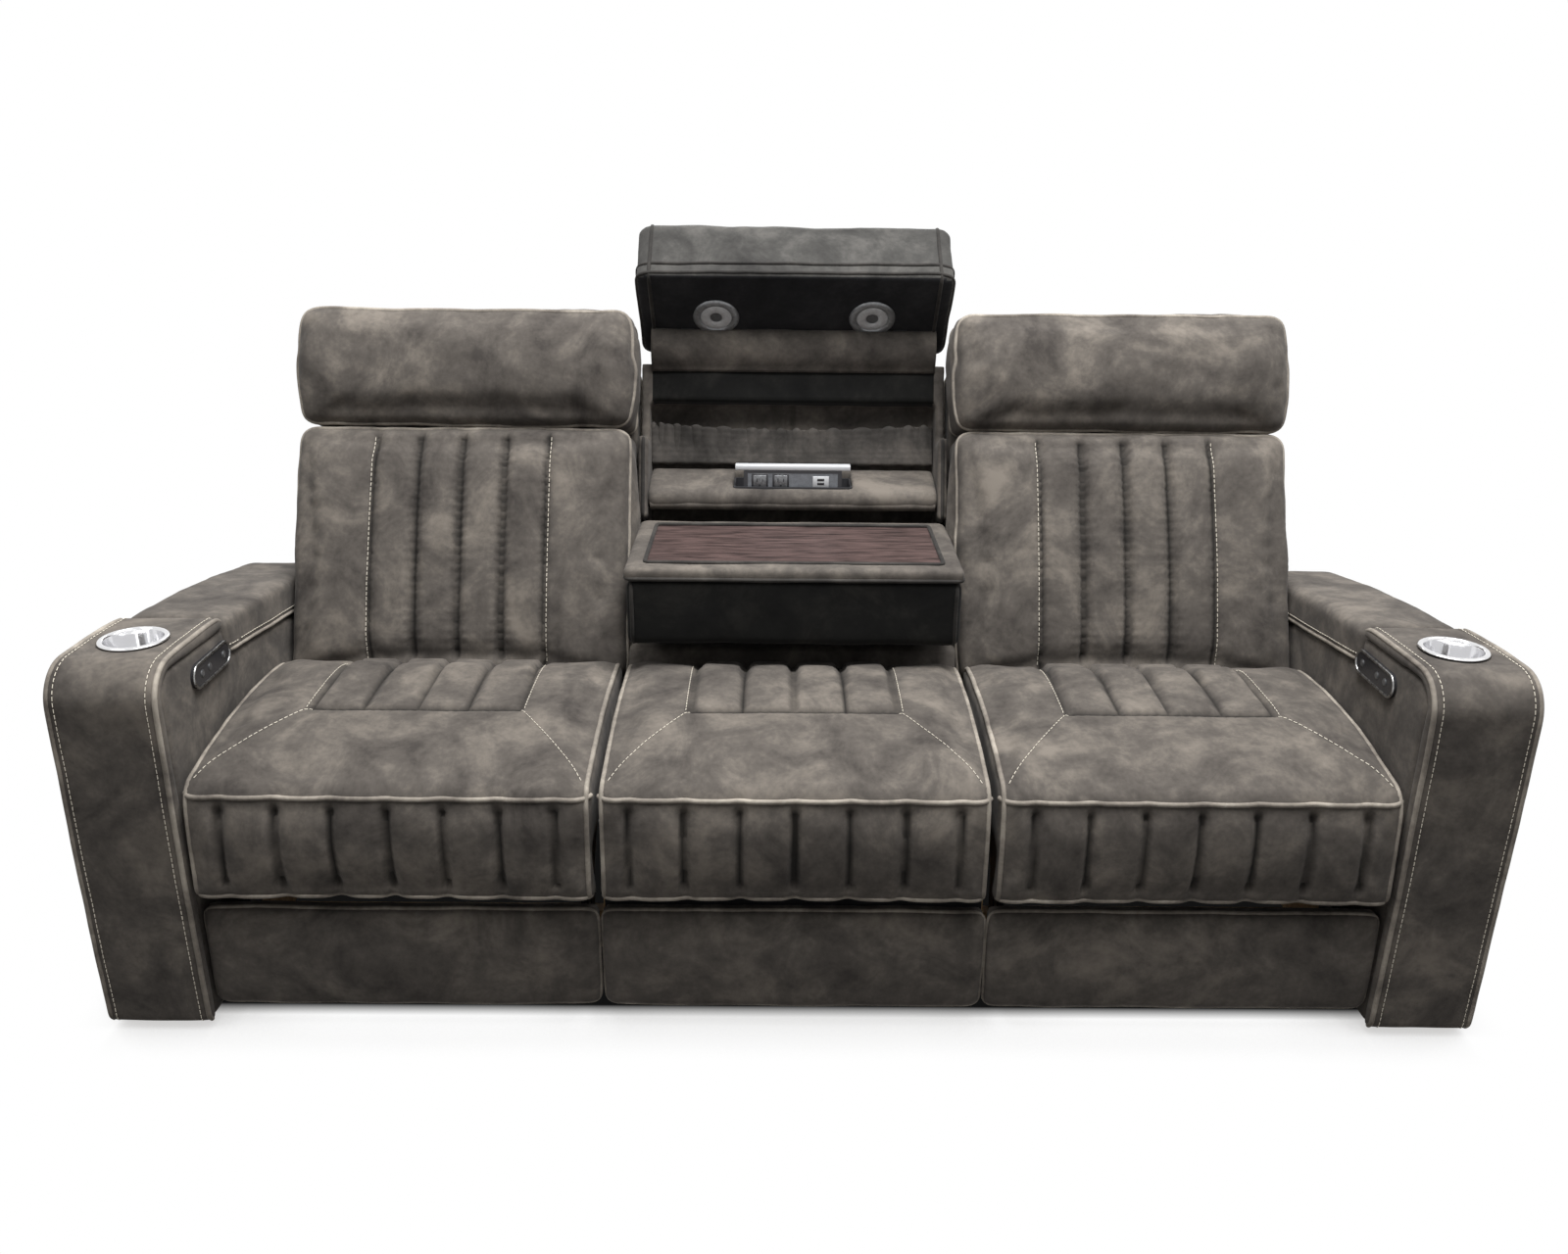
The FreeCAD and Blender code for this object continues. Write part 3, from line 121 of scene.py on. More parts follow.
def raised_point(x: float, set_back: float, rise: float) -> Vector:
    """A point of the centre headrest as it stands raised, given by its place when closed.

    Args:
        x: Place across the sofa.
        set_back: Distance behind the front plane of the backs.
        rise: Distance up that plane.

    Returns:
        The point in the sofa's frame.
    """
    pivot = lean_point(0.0, *RAISE_PIVOT)
    return pivot + Matrix.Rotation(-RAISED_TURN, 3, "X") @ (lean_point(x, set_back, rise) - pivot)


class Board:
    """A material's or group's node tree with short ways to add and join nodes."""

    def __init__(self, tree: bpy.types.NodeTree) -> None:
        """Takes the tree to build in."""
        self.tree = tree

    def add(self, kind: str, inputs: dict | None = None, **settings: object) -> bpy.types.Node:
        """Adds one node.

        Args:
            kind: The node's type name without its ShaderNode prefix, or a whole type name.
            inputs: Input values or sockets to join, by input name or number.
            settings: Properties of the node itself.

        Returns:
            The new node.
        """
        whole = kind if kind.startswith("Node") else "ShaderNode" + kind
        node = self.tree.nodes.new(whole)
        for name, value in settings.items():
            setattr(node, name, value)
        for name, value in (inputs or {}).items():
            if isinstance(value, bpy.types.NodeSocket):
                self.tree.links.new(value, node.inputs[name])
            else:
                node.inputs[name].default_value = value
        return node

    def ramp(
        self, factor: bpy.types.NodeSocket, stops: Sequence[tuple[float, Colour]]
    ) -> bpy.types.NodeSocket:
        """Adds a colour ramp.

        Args:
            factor: What drives the ramp.
            stops: Positions and linear colours, lowest first.

        Returns:
            The ramp's colour socket.
        """
        node = self.add("ValToRGB", {"Fac": factor})
        points = node.color_ramp.elements
        while len(points) < len(stops):
            points.new(0.5)
        for point, (place, colour) in zip(points, stops):
            point.position = place
            point.color = (*colour, 1.0)
        return node.outputs["Color"]


def new_group(
    name: str, inputs: Iterable[tuple[str, float]], outputs: Iterable[tuple[str, str]]
) -> tuple[Board, bpy.types.Node, bpy.types.Node]:
    """Starts a shader node group.

    Args:
        name: The group's name.
        inputs: Names and starting values of its float inputs.
        outputs: Names and socket types of its outputs.

    Returns:
        The board, the group's input node and its output node.
    """
    tree = bpy.data.node_groups.new(name, "ShaderNodeTree")
    for label, value in inputs:
        socket = tree.interface.new_socket(name=label, in_out="INPUT", socket_type="NodeSocketFloat")
        socket.default_value = value
    for label, kind in outputs:
        tree.interface.new_socket(name=label, in_out="OUTPUT", socket_type=kind)
    board = Board(tree)
    return board, board.add("NodeGroupInput"), board.add("NodeGroupOutput")


def nap_group() -> bpy.types.NodeTree:
    """The brushed nap of a suede-like cover: broad patches, finer mottling and a fine pile.

    Returns:
        The group, made once.
    """
    found = bpy.data.node_groups.get("suede_nap")
    if found:
        return found
    board, given, result = new_group(
        "suede_nap",
        (("Patch Scale", 8.5), ("Pile Scale", 900.0)),
        (("Shade", "NodeSocketFloat"), ("Height", "NodeSocketFloat")),
    )
    place = board.add("TexCoord").outputs["Object"]
    broad_noise = {"Scale": given.outputs["Patch Scale"], "Detail": 5.0, "Roughness": 0.62, "Distortion": 0.7}
    patch = board.add("TexNoise", {"Vector": place, **broad_noise})
    cloud = board.add("TexNoise", {"Vector": place, "Scale": 26.0, "Detail": 4.0, "Roughness": 0.6})
    crackle = board.add("TexNoise", {"Vector": place, "Scale": 120.0, "Detail": 3.0, "Roughness": 0.6})
    pile = board.add("TexNoise", {"Vector": place, "Scale": given.outputs["Pile Scale"], "Detail": 2.0})

    def added(noise_node: bpy.types.Node, share: float, rest: bpy.types.NodeSocket) -> bpy.types.NodeSocket:
        """Adds a share of one noise to what is there."""
        mixed = {0: noise_node.outputs["Fac"], 1: share, 2: rest}
        return board.add("Math", mixed, operation="MULTIPLY_ADD").outputs[0]

    broad = board.add("Math", {0: patch.outputs["Fac"], 1: 0.62}, operation="MULTIPLY").outputs[0]
    shade = added(crackle, 0.12, added(cloud, 0.26, broad))
    height = added(crackle, 0.6, pile.outputs["Fac"])
    board.tree.links.new(shade, result.inputs["Shade"])
    board.tree.links.new(height, result.inputs["Height"])
    return board.tree


def streak_group() -> bpy.types.NodeTree:
    """Fine lines along one axis, for brushed steel and for wood grain.

    Returns:
        The group, made once.
    """
    found = bpy.data.node_groups.get("fine_streaks")
    if found:
        return found
    board, given, result = new_group(
        "fine_streaks",
        (("Along X", 1.0), ("Along Y", 1.0), ("Along Z", 1.0), ("Scale", 60.0)),
        (("Streak", "NodeSocketFloat"),),
    )
    place = board.add("TexCoord").outputs["Object"]
    stretch = board.add("CombineXYZ", {axis: given.outputs["Along " + axis] for axis in "XYZ"})
    drawn = board.add("VectorMath", {0: place, 1: stretch.outputs[0]}, operation="MULTIPLY").outputs[0]
    fine_noise = {"Scale": given.outputs["Scale"], "Detail": 6.0, "Roughness": 0.65, "Distortion": 0.4}
    lines = board.add("TexNoise", {"Vector": drawn, **fine_noise})
    board.tree.links.new(lines.outputs["Fac"], result.inputs["Streak"])
    return board.tree


@dataclass(frozen=True)
class SuedeFinish:
    """The sofa's cover: warm grey, mottled, with painted shade in its sewn creases."""

    name: str = "suede_cover"
    dark: Colour = srgb(64, 60, 57)
    middle: Colour = srgb(90, 85, 80)
    light: Colour = srgb(120, 113, 105)
    crease_shade: Colour = srgb(16, 15, 14)

    def material(self) -> bpy.types.Material:
        """Builds the material, or finds it again.

        Returns:
            The material.
        """
        made = bpy.data.materials.get(self.name)
        if made:
            return made
        made = bpy.data.materials.new(self.name)
        made.use_nodes = True
        board = Board(made.node_tree)
        shader = made.node_tree.nodes["Principled BSDF"]
        nap = board.add("Group", node_tree=nap_group())
        colour = board.ramp(nap.outputs["Shade"], ((0.36, self.dark), (0.5, self.middle), (0.64, self.light)))
        seam = board.add("Attribute", attribute_name="seam").outputs["Fac"]
        # painted shade: the seam attribute mixes the near-black crease colour into the sewn creases
        creased = {"Factor": seam, 6: colour, 7: (*self.crease_shade, 1.0)}
        shaded = board.add("Mix", creased, data_type="RGBA").outputs[2]
        worn = {"Value": nap.outputs["Shade"], "To Min": 0.92, "To Max": 0.66}
        rough = board.add("MapRange", worn).outputs[0]
        bump = board.add("Bump", {"Height": nap.outputs["Height"], "Strength": 0.28, "Distance": 0.0006})
        made.node_tree.links.new(shaded, shader.inputs["Base Color"])
        made.node_tree.links.new(rough, shader.inputs["Roughness"])
        made.node_tree.links.new(bump.outputs["Normal"], shader.inputs["Normal"])
        shader.inputs["Specular IOR Level"].default_value = 0.12
        shader.inputs["Sheen Weight"].default_value = 0.06
        shader.inputs["Sheen Roughness"].default_value = 0.5
        return made


@dataclass(frozen=True)
class SolidFinish:
    """A rigid finish: metal, plastic, paint or timber, with streaks or a fine grain."""

    name: str
    low: Colour
    high: Colour
    metallic: float = 0.0
    rough_low: float = 0.35
    rough_high: float = 0.5
    stretch: tuple[float, float, float] = (1.0, 1.0, 1.0)
    scale: float = 60.0
    bump: float = 0.05
    coat: float = 0.0

    def material(self) -> bpy.types.Material:
        """Builds the material, or finds it again.

        Returns:
            The material.
        """
        made = bpy.data.materials.get(self.name)
        if made:
            return made
        made = bpy.data.materials.new(self.name)
        made.use_nodes = True
        board = Board(made.node_tree)
        shader = made.node_tree.nodes["Principled BSDF"]
        along = dict(zip(("Along X", "Along Y", "Along Z"), self.stretch))
        streaks = board.add("Group", node_tree=streak_group())
        for name, value in {**along, "Scale": self.scale}.items():
            streaks.inputs[name].default_value = value
        colour = board.ramp(streaks.outputs["Streak"], ((0.34, self.low), (0.68, self.high)))
        streak = streaks.outputs["Streak"]
        spread = {"Value": streak, "To Min": self.rough_low, "To Max": self.rough_high}
        rough = board.add("MapRange", spread).outputs[0]
        bump = board.add("Bump", {"Height": streak, "Strength": self.bump, "Distance": 0.0003})
        made.node_tree.links.new(colour, shader.inputs["Base Color"])
        made.node_tree.links.new(rough, shader.inputs["Roughness"])
        made.node_tree.links.new(bump.outputs["Normal"], shader.inputs["Normal"])
        shader.inputs["Metallic"].default_value = self.metallic
        shader.inputs["Coat Weight"].default_value = self.coat
        return made


SUEDE = SuedeFinish()
# painted shade: a darker copy of the cover for the raised centre headrest
SHADED = SuedeFinish("suede_raised_painted_shade", srgb(48, 47, 46), srgb(68, 67, 65), srgb(92, 90, 87))
# painted shadow: a near-black copy of the cover for the console back and the niche's top rail
SHADOW = SuedeFinish("suede_painted_shadow", srgb(12, 12, 12), srgb(21, 21, 20), srgb(36, 35, 33))
# painted highlight: piping of the cover's own suede, made lighter for the light along its round top
WELT = SuedeFinish("suede_welt", srgb(96, 90, 84), srgb(138, 131, 122), srgb(178, 170, 158))
# painted shade: a darker copy of the cover for the pocket deep in the niche
POCKET = SuedeFinish("suede_pocket_painted_shade", srgb(50, 48, 46), srgb(72, 69, 66), srgb(98, 93, 88))
# a near-black smooth lining whose darkness also paints shade: under the raised headrest's overhang, and alone
# on the gap sheet
LINING_AND_SHADE = SuedeFinish("smooth_lining_and_painted_shade", srgb(30, 30, 32), srgb(40, 40, 42), srgb(54, 54, 56), srgb(14, 14, 14))
# painted shade: piping of the cover's own suede, made darker for the shaded centre section
DARK_WELT = SuedeFinish("dark_welt", srgb(38, 37, 36), srgb(54, 52, 50), srgb(74, 71, 68), srgb(20, 20, 20))
THREAD = SolidFinish(
    "cream_thread", srgb(206, 198, 182), srgb(236, 229, 214),
    rough_low=0.6, rough_high=0.8, scale=700.0, bump=0.2,
)
CUP_STEEL = SolidFinish(
    "cup_steel", srgb(170, 168, 162), srgb(226, 224, 218), 1.0, 0.14, 0.26, (1.0, 1.0, 0.04), 70.0
)
BEZEL = SolidFinish("bezel_metal", srgb(120, 120, 120), srgb(176, 176, 175), 1.0, 0.22, 0.34, scale=120.0)
GLOSS = SolidFinish("gloss_black", srgb(14, 14, 15), srgb(24, 24, 26), 0.0, 0.08, 0.16, coat=0.5)
KEY = SolidFinish("key_silver", srgb(96, 97, 99), srgb(138, 139, 141), 0.6, 0.28, 0.4, scale=200.0)
SILVER = SolidFinish(
    "silver_plastic", srgb(158, 160, 163), srgb(190, 192, 195), 0.55, 0.28, 0.4, (0.1, 1.0, 1.0), 90.0
)
SOCKET = SolidFinish("socket_grey", srgb(108, 111, 116), srgb(130, 133, 138), 0.0, 0.35, 0.5, scale=160.0)
BLACK = SolidFinish(
    "black_plastic", srgb(20, 20, 21), srgb(34, 34, 36), 0.0, 0.42, 0.58, scale=420.0, bump=0.2
)
STEEL = SolidFinish("black_steel", srgb(26, 26, 28), srgb(42, 42, 45), 0.7, 0.36, 0.5, scale=220.0, bump=0.12)
TIMBER = SolidFinish(
    "frame_timber", srgb(150, 118, 82), srgb(196, 163, 120), 0.0, 0.55, 0.75, (0.06, 1.0, 1.0), 46.0, 0.3
)
LAMINATE = SolidFinish(
    "table_grain", srgb(38, 29, 28), srgb(96, 78, 75), 0.0, 0.34, 0.5, (0.12, 1.0, 1.0), 110.0, 0.3
)
WEBBING = SolidFinish(
    "woven_webbing", srgb(30, 30, 32), srgb(58, 58, 60), 0.0, 0.8, 0.95, scale=500.0, bump=0.5
)
RIM = SolidFinish("lamp_rim", srgb(128, 130, 132), srgb(160, 162, 164), 0.35, 0.25, 0.4, scale=140.0)
LENS = SolidFinish("lamp_lens", srgb(206, 208, 210), srgb(232, 234, 236), 0.0, 0.2, 0.3, scale=90.0, coat=0.3)
BUTTON = SolidFinish("lamp_button", srgb(92, 93, 95), srgb(112, 113, 115), 0.0, 0.3, 0.42, scale=180.0)


def dress(piece: bpy.types.Object, finish: SuedeFinish | SolidFinish) -> None:
    """Gives a piece one finish in place of any it has."""
    piece.data.materials.clear()
    piece.data.materials.append(finish.material())


def settle(
    piece: bpy.types.Object, body: str, finish: SuedeFinish | SolidFinish, smooth: bool = True
) -> bpy.types.Object:
    """Dresses a new piece and joins it to the body that it moves with.

    Args:
        piece: The piece, in place.
        body: The body it rides on.
        finish: Its finish.
        smooth: Whether its faces are shaded smooth.

    Returns:
        The piece.
    """
    dress(piece, finish)
    if smooth:
        piece.data.polygons.foreach_set("use_smooth", [True] * len(piece.data.polygons))
    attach(piece, body)
    return piece


def link_mesh(name: str, mesh: bpy.types.Mesh) -> bpy.types.Object:
    """Puts a mesh into the scene as an object at the origin."""
    made = bpy.data.objects.new(name, mesh)
    bpy.context.scene.collection.objects.link(made)
    return made


@dataclass
class Padding:
    """How a padded copy of a solid is worked over.

    Attributes:
        voxel: Grid of the remesh.
        relax: Rounds of smoothing.
        wrinkle: Height of the broad unevenness.
        swell: Most that the cloth may move, or 0 for no simulation.
    """

    voxel: float = 0.0075
    relax: int = 3
    wrinkle: float = 0.0014
    swell: float = 0.0


def merged_copy(node: str, name: str, nodes: dict[str, bpy.types.Object]) -> bpy.types.Object:
    """Copies a node's mesh and merges its loose triangles.

    Args:
        node: The node to copy.
        name: The copy's name.
        nodes: The frame's nodes.

    Returns:
        The copy.
    """
    mesh = nodes[node].data.copy()
    mesh.name = name
    shape = bmesh.new()
    shape.from_mesh(mesh)
    bmesh.ops.remove_doubles(shape, verts=shape.verts, dist=1e-5)
    bmesh.ops.recalc_face_normals(shape, faces=shape.faces)
    shape.to_mesh(mesh)
    shape.free()
    return link_mesh(name, mesh)


def apply_modifiers(piece: bpy.types.Object) -> None:
    """Turns a piece's modifiers into its mesh."""
    graph = bpy.context.evaluated_depsgraph_get()
    mesh = bpy.data.meshes.new_from_object(piece.evaluated_get(graph))
    piece.modifiers.clear()
    piece.data = mesh


def read_points(mesh: bpy.types.Mesh, what: str) -> np.ndarray:
    """Reads a mesh's vertex places or normals as rows."""
    values = np.zeros(len(mesh.vertices) * 3, np.float32)
    source = mesh.vertices if what == "co" else mesh.vertex_normals
    source.foreach_get("co" if what == "co" else "vector", values)
    return values.reshape(-1, 3).astype(float)


def write_points(mesh: bpy.types.Mesh, points: np.ndarray) -> None:
    """Writes vertex places back to a mesh."""
    mesh.vertices.foreach_set("co", points.astype(np.float32).ravel())
    mesh.update()


def swell(piece: bpy.types.Object, most: float) -> None:
    """Blows a closed pad up with a short cloth simulation.

    Args:
        piece: The pad.
        most: The furthest that any point may move.
    """
    before, normals = read_points(piece.data, "co"), read_points(piece.data, "normal")
    cloth = piece.modifiers.new("cover", "CLOTH")
    cloth.settings.use_pressure = True
    cloth.settings.uniform_pressure_force = 4.0
    cloth.settings.effector_weights.gravity = 0.0
    cloth.settings.quality = 4
    cloth.collision_settings.use_collision = False
    cloth.point_cache.frame_start, cloth.point_cache.frame_end = 1, 20
    for step in range(1, 21):
        bpy.context.scene.frame_set(step)
    apply_modifiers(piece)
    bpy.context.scene.frame_set(1)
    moved = read_points(piece.data, "co") - before
    outward = (moved * normals).sum(axis=1, keepdims=True)
    moved = moved + normals * (np.maximum(outward, -0.002) - outward)
    length = np.linalg.norm(moved, axis=1, keepdims=True)
    write_points(piece.data, before + moved * np.minimum(1.0, most / np.maximum(length, 1e-9)))


def padded_copy(
    node: str, name: str, nodes: dict[str, bpy.types.Object], padding: Padding
) -> bpy.types.Object:
    """Makes the stuffed form of a soft node: an even skin, relaxed and slightly uneven.

    Args:
        node: The node to copy.
        name: The piece's name.
        nodes: The frame's nodes.
        padding: How it is worked over.

    Returns:
        The piece, not yet dressed.
    """
    piece = merged_copy(node, name, nodes)
    remesh = piece.modifiers.new("skin", "REMESH")
    remesh.mode = "VOXEL"
    remesh.voxel_size = padding.voxel
    apply_modifiers(piece)
    if padding.swell:
        swell(piece, padding.swell)
    shape = bmesh.new()
    shape.from_mesh(piece.data)
    for _ in range(padding.relax):
        bmesh.ops.smooth_vert(
            shape, verts=shape.verts, factor=0.5, use_axis_x=True, use_axis_y=True, use_axis_z=True
        )
    shape.to_mesh(piece.data)
    shape.free()
    points, normals = read_points(piece.data, "co"), read_points(piece.data, "normal")
    lift = [noise.fractal(Vector(p) * 9.0, 1.0, 2.0, 3) for p in points]
    write_points(piece.data, points + normals * (np.array(lift)[:, None] * padding.wrinkle))
    return piece


@dataclass
class Seam:
    """A sewn line that sinks into a pad.

    Attributes:
        start: One point on the line.
        end: Another.
        depth: How far it sinks.
        width: Half its visible width.
        inside: Which points it can reach.
        gather: Height of the puckers beside it.
        through: The direction in which distance doesn't count, so a crowned surface is still reached.
    """

    start: Vector
    end: Vector
    depth: float = 0.006
    width: float = 0.009
    inside: Test = field(default=lambda point: True)
    gather: float = 0.0006
    through: Vector = field(default_factory=lambda: Vector((0, 1, 0)))


def sew(piece: bpy.types.Object, seams: Sequence[Seam]) -> None:
    """Sinks seams into a pad and marks them for the painted shade that the cover's crease colour lays in
    them.

    Args:
        piece: The pad.
        seams: The lines to sew.
    """
    points, normals = read_points(piece.data, "co"), read_points(piece.data, "normal")
    mark, drop = np.zeros(len(points)), np.zeros(len(points))
    for seam in seams:
        start, along = np.array(seam.start), np.array(seam.end - seam.start)
        length = np.linalg.norm(along)
        along = along / length
        reach = np.clip((points - start) @ along, 0, length)
        gap, through = points - start - reach[:, None] * along, np.array(seam.through.normalized())
        away = np.linalg.norm(gap - (gap @ through)[:, None] * through, axis=1)
        near = np.where(away < 4 * seam.width)[0]
        near = near[[seam.inside(Vector(points[i])) for i in near]] if len(near) else near
        pull = np.exp(-((away[near] / (0.8 * seam.width)) ** 2))
        pucker = np.sin(reach[near] * 2 * math.pi / 0.017) * np.exp(-((away[near] / (2 * seam.width)) ** 2))
        drop[near] = np.maximum(drop[near], seam.depth * pull) + seam.gather * pucker
        # painted shade mask for the crease colour, strongest along each seam's line
        mark[near] = np.maximum(mark[near], np.exp(-((away[near] / (0.5 * seam.width)) ** 2)))
    write_points(piece.data, points - normals * drop[:, None])
    layer = piece.data.attributes.get("seam") or piece.data.attributes.new("seam", "FLOAT", "POINT")
    layer.data.foreach_set("value", (0.95 * mark).astype(np.float32))


def section(piece: bpy.types.Object, place: Vector, normal: Vector) -> list[Path]:
    """The lines in which a plane meets a piece.

    Args:
        piece: The piece.
        place: A point of the plane.
        normal: The plane's normal.

    Returns:
        Chains of points, the longest first.
    """
    shape = bmesh.new()
    shape.from_mesh(piece.data)
    whole = list(shape.verts) + list(shape.edges) + list(shape.faces)
    cut = bmesh.ops.bisect_plane(shape, geom=whole, plane_co=place, plane_no=normal)["geom_cut"]
    edges = {item for item in cut if isinstance(item, bmesh.types.BMEdge)}
    chains = []
    while edges:
        edge = edges.pop()
        chain = [edge.verts[0], edge.verts[1]]
        for end in (-1, 0):
            while True:
                step = next((e for e in chain[end].link_edges if e in edges), None)
                if step is None:
                    break
                edges.remove(step)
                other = step.other_vert(chain[end])
                chain.append(other) if end == -1 else chain.insert(0, other)
        chains.append([vert.co.copy() for vert in chain])
    shape.free()
    return sorted(chains, key=path_length, reverse=True)


def path_length(path: Path) -> float:
    """The length of a path."""
    return sum((b - a).length for a, b in zip(path, path[1:]))


def resample(path: Path, step: float, closed: bool) -> Path:
    """Spaces a path's points evenly and takes the small kinks out.

    Args:
        path: The path.
        step: The spacing.
        closed: Whether it is a loop.

    Returns:
        The new points, without a repeated last one on a loop.
    """
    total = path_length(path)
    count = max(4, round(total / step))
    reach = np.concatenate(([0.0], np.cumsum([(b - a).length for a, b in zip(path, path[1:])])))
    spots = np.linspace(0, total, count, endpoint=not closed)
    points = np.stack([np.interp(spots, reach, [p[axis] for p in path]) for axis in range(3)], axis=1)
    for _ in range(3):
        if closed:
            points = (np.roll(points, 1, 0) + 2 * points + np.roll(points, -1, 0)) / 4
        else:
            points[1:-1] = (points[:-2] + 2 * points[1:-1] + points[2:]) / 4
    return [Vector(p) for p in points]


def runs(path: Path, keep: Test) -> list[Path]:
    """Splits a loop into the stretches that a test keeps.

    Args:
        path: A closed path.
        keep: The test of a point.

    Returns:
        The kept stretches, the longest first.
    """
    flags = [keep(point) for point in path]
    if all(flags):
        return [path]
    start = flags.index(False)
    kept, current = [], []
    for offset in range(1, len(path) + 1):
        index = (start + offset) % len(path)
        if flags[index]:
            current.append(path[index])
        elif current:
            kept.append(current)
            current = []
    return sorted((run for run in kept if len(run) > 3), key=path_length, reverse=True)


def tube(
    name: str, paths: Sequence[Path], radius: float, closed: bool = False, sides: int = 2
) -> bpy.types.Object:
    """Round piping or thread along paths.

    Args:
        name: The piece's name.
        paths: Where it runs.
        radius: Its radius.
        closed: Whether each path is a loop.
        sides: Roundness of its section.

    Returns:
        A mesh piece, not yet dressed.
    """
    curve = bpy.data.curves.new(name + "_line", "CURVE")
    curve.dimensions = "3D"
    curve.bevel_depth, curve.bevel_resolution, curve.use_fill_caps = radius, sides, not closed
    for path in paths:
        line = curve.splines.new("POLY")
        line.points.add(len(path) - 1)
        for point, place in zip(line.points, path):
            point.co = (*place, 1.0)
        line.use_cyclic_u = closed
    holder = bpy.data.objects.new(name + "_line", curve)
    bpy.context.scene.collection.objects.link(holder)
    mesh = bpy.data.meshes.new_from_object(holder.evaluated_get(bpy.context.evaluated_depsgraph_get()))
    bpy.data.objects.remove(holder)
    mesh.name = name
    return link_mesh(name, mesh)


def line_part(
    piece: bpy.types.Object, finish: SuedeFinish, chosen: Callable[[bpy.types.MeshPolygon], bool]
) -> None:
    """Gives the chosen faces of a dressed pad a second cover, which the script uses for a lining and for
    painted shade.

    Args:
        piece: The pad.
        finish: The second cover.
        chosen: Which faces take it.
    """
    piece.data.materials.append(finish.material())
    for face in piece.data.polygons:
        if chosen(face):
            face.material_index = 1


def slab(name: str, low: Vector, high: Vector, edge: float = 0.0004) -> bpy.types.Object:
    """Makes a small block with softened edges.

    Args:
        name: Its name.
        low: Its lowest corner.
        high: Its highest corner.
        edge: Width of the softened edges.

    Returns:
        The block.
    """
    shape = bmesh.new()
    bmesh.ops.create_cube(shape, size=1.0)
    bmesh.ops.scale(shape, vec=high - low, verts=shape.verts)
    bmesh.ops.translate(shape, vec=(low + high) / 2, verts=shape.verts)
    bmesh.ops.bevel(shape, geom=shape.edges[:], offset=edge, segments=2, profile=0.5, affect="EDGES")
    mesh = bpy.data.meshes.new(name)
    shape.to_mesh(mesh)
    shape.free()
    return link_mesh(name, mesh)


def turned(
    name: str, centre: Vector, axis: Vector, profile: Sequence[tuple[float, float]]
) -> bpy.types.Object:
    """Spins a profile about an axis.

    Args:
        name: The piece's name.
        centre: The profile's origin.
        axis: Unit direction of its height.
        profile: Pairs of radius and height.

    Returns:
        The piece.
    """
    side = axis.orthogonal().normalized()
    shape = bmesh.new()
    verts = [shape.verts.new(centre + side * radius + axis * height) for radius, height in profile]
    edges = [shape.edges.new(pair) for pair in zip(verts, verts[1:])]
    bmesh.ops.spin(
        shape, geom=verts + edges, cent=centre, axis=axis, angle=2 * math.pi, steps=56, use_merge=True
    )
    bmesh.ops.remove_doubles(shape, verts=shape.verts, dist=1e-6)
    bmesh.ops.recalc_face_normals(shape, faces=shape.faces)
    mesh = bpy.data.meshes.new(name)
    shape.to_mesh(mesh)
    shape.free()
    return link_mesh(name, mesh)


def stitches(path: Path, length: float = 0.0062, pitch: float = 0.0095) -> list[Path]:
    """Cuts a path into short threads.

    Args:
        path: Where the row runs.
        length: One stitch.
        pitch: From one stitch to the next.

    Returns:
        The stitches.
    """
    total = path_length(path)
    reach = np.concatenate(([0.0], np.cumsum([(b - a).length for a, b in zip(path, path[1:])])))
    made = []
    for begin in np.arange(0, total - length, pitch):
        ends = [
            [float(np.interp(s, reach, [p[axis] for p in path])) for axis in range(3)]
            for s in (begin, begin + length)
        ]
        made.append([Vector(ends[0]), Vector(ends[1])])
    return made


class Skin:
    """The surface of a finished pad, for laying trim on it."""

    def __init__(self, piece: bpy.types.Object) -> None:
        """Reads the pad's mesh."""
        shape = bmesh.new()
        shape.from_mesh(piece.data)
        self.tree = BVHTree.FromBMesh(shape)
        shape.free()

    def lay(self, path: Path, lift: float) -> Path:
        """Moves a path onto the surface.

        Args:
            path: Points near the surface.
            lift: Height above it.

        Returns:
            The points on the surface.
        """
        found = [self.tree.find_nearest(point) for point in path]
        return [spot + normal * lift for spot, normal, _, _ in found]

    def line(self, start: Vector, end: Vector, lift: float, toward: Vector, step: float = 0.006) -> Path:
        """Draws a straight line on the surface as seen along a direction.

        Args:
            start: Where it starts, outside the pad.
            end: Where it ends, outside the pad.
            lift: Height above the surface.
            toward: The direction of view.
            step: Spacing of its points.

        Returns:
            The points that met the surface.
        """
        count = max(3, round((end - start).length / step))
        rays = [self.tree.ray_cast(start.lerp(end, i / (count - 1)), toward) for i in range(count)]
        return [spot + normal * lift for spot, normal, _, _ in rays if spot is not None]


@dataclass
class Trim:
    """Piping and thread for one body, gathered and made as two pieces.

    Attributes:
        name: Start of the pieces' names.
        body: The body they ride on.
        welt: Radius of the piping.
        finish: Cover of the piping.
    """

    name: str
    body: str
    welt: float = 0.0042
    # the default piping cover is the lighter copy, a painted highlight
    finish: SuedeFinish = WELT
    loops: list[Path] = field(default_factory=list)
    strips: list[Path] = field(default_factory=list)
    rows: list[Path] = field(default_factory=list)

    def make(self) -> list[bpy.types.Object]:
        """Builds what was gathered.

        Returns:
            The pieces.
        """
        made = []
        for word, paths, closed in (("welt_loop", self.loops, True), ("welt", self.strips, False)):
            if paths:
                spaced = [resample(path, 0.006, closed) for path in paths]
                piece = tube(f"{self.name}_{word}", spaced, self.welt, closed)
                made.append(settle(piece, self.body, self.finish))
        if self.rows:
            threads = [thread for row in self.rows for thread in stitches(row)]
            piece = tube(f"{self.name}_thread", threads, 0.00075, sides=0)
            made.append(settle(piece, self.body, THREAD))
        return made


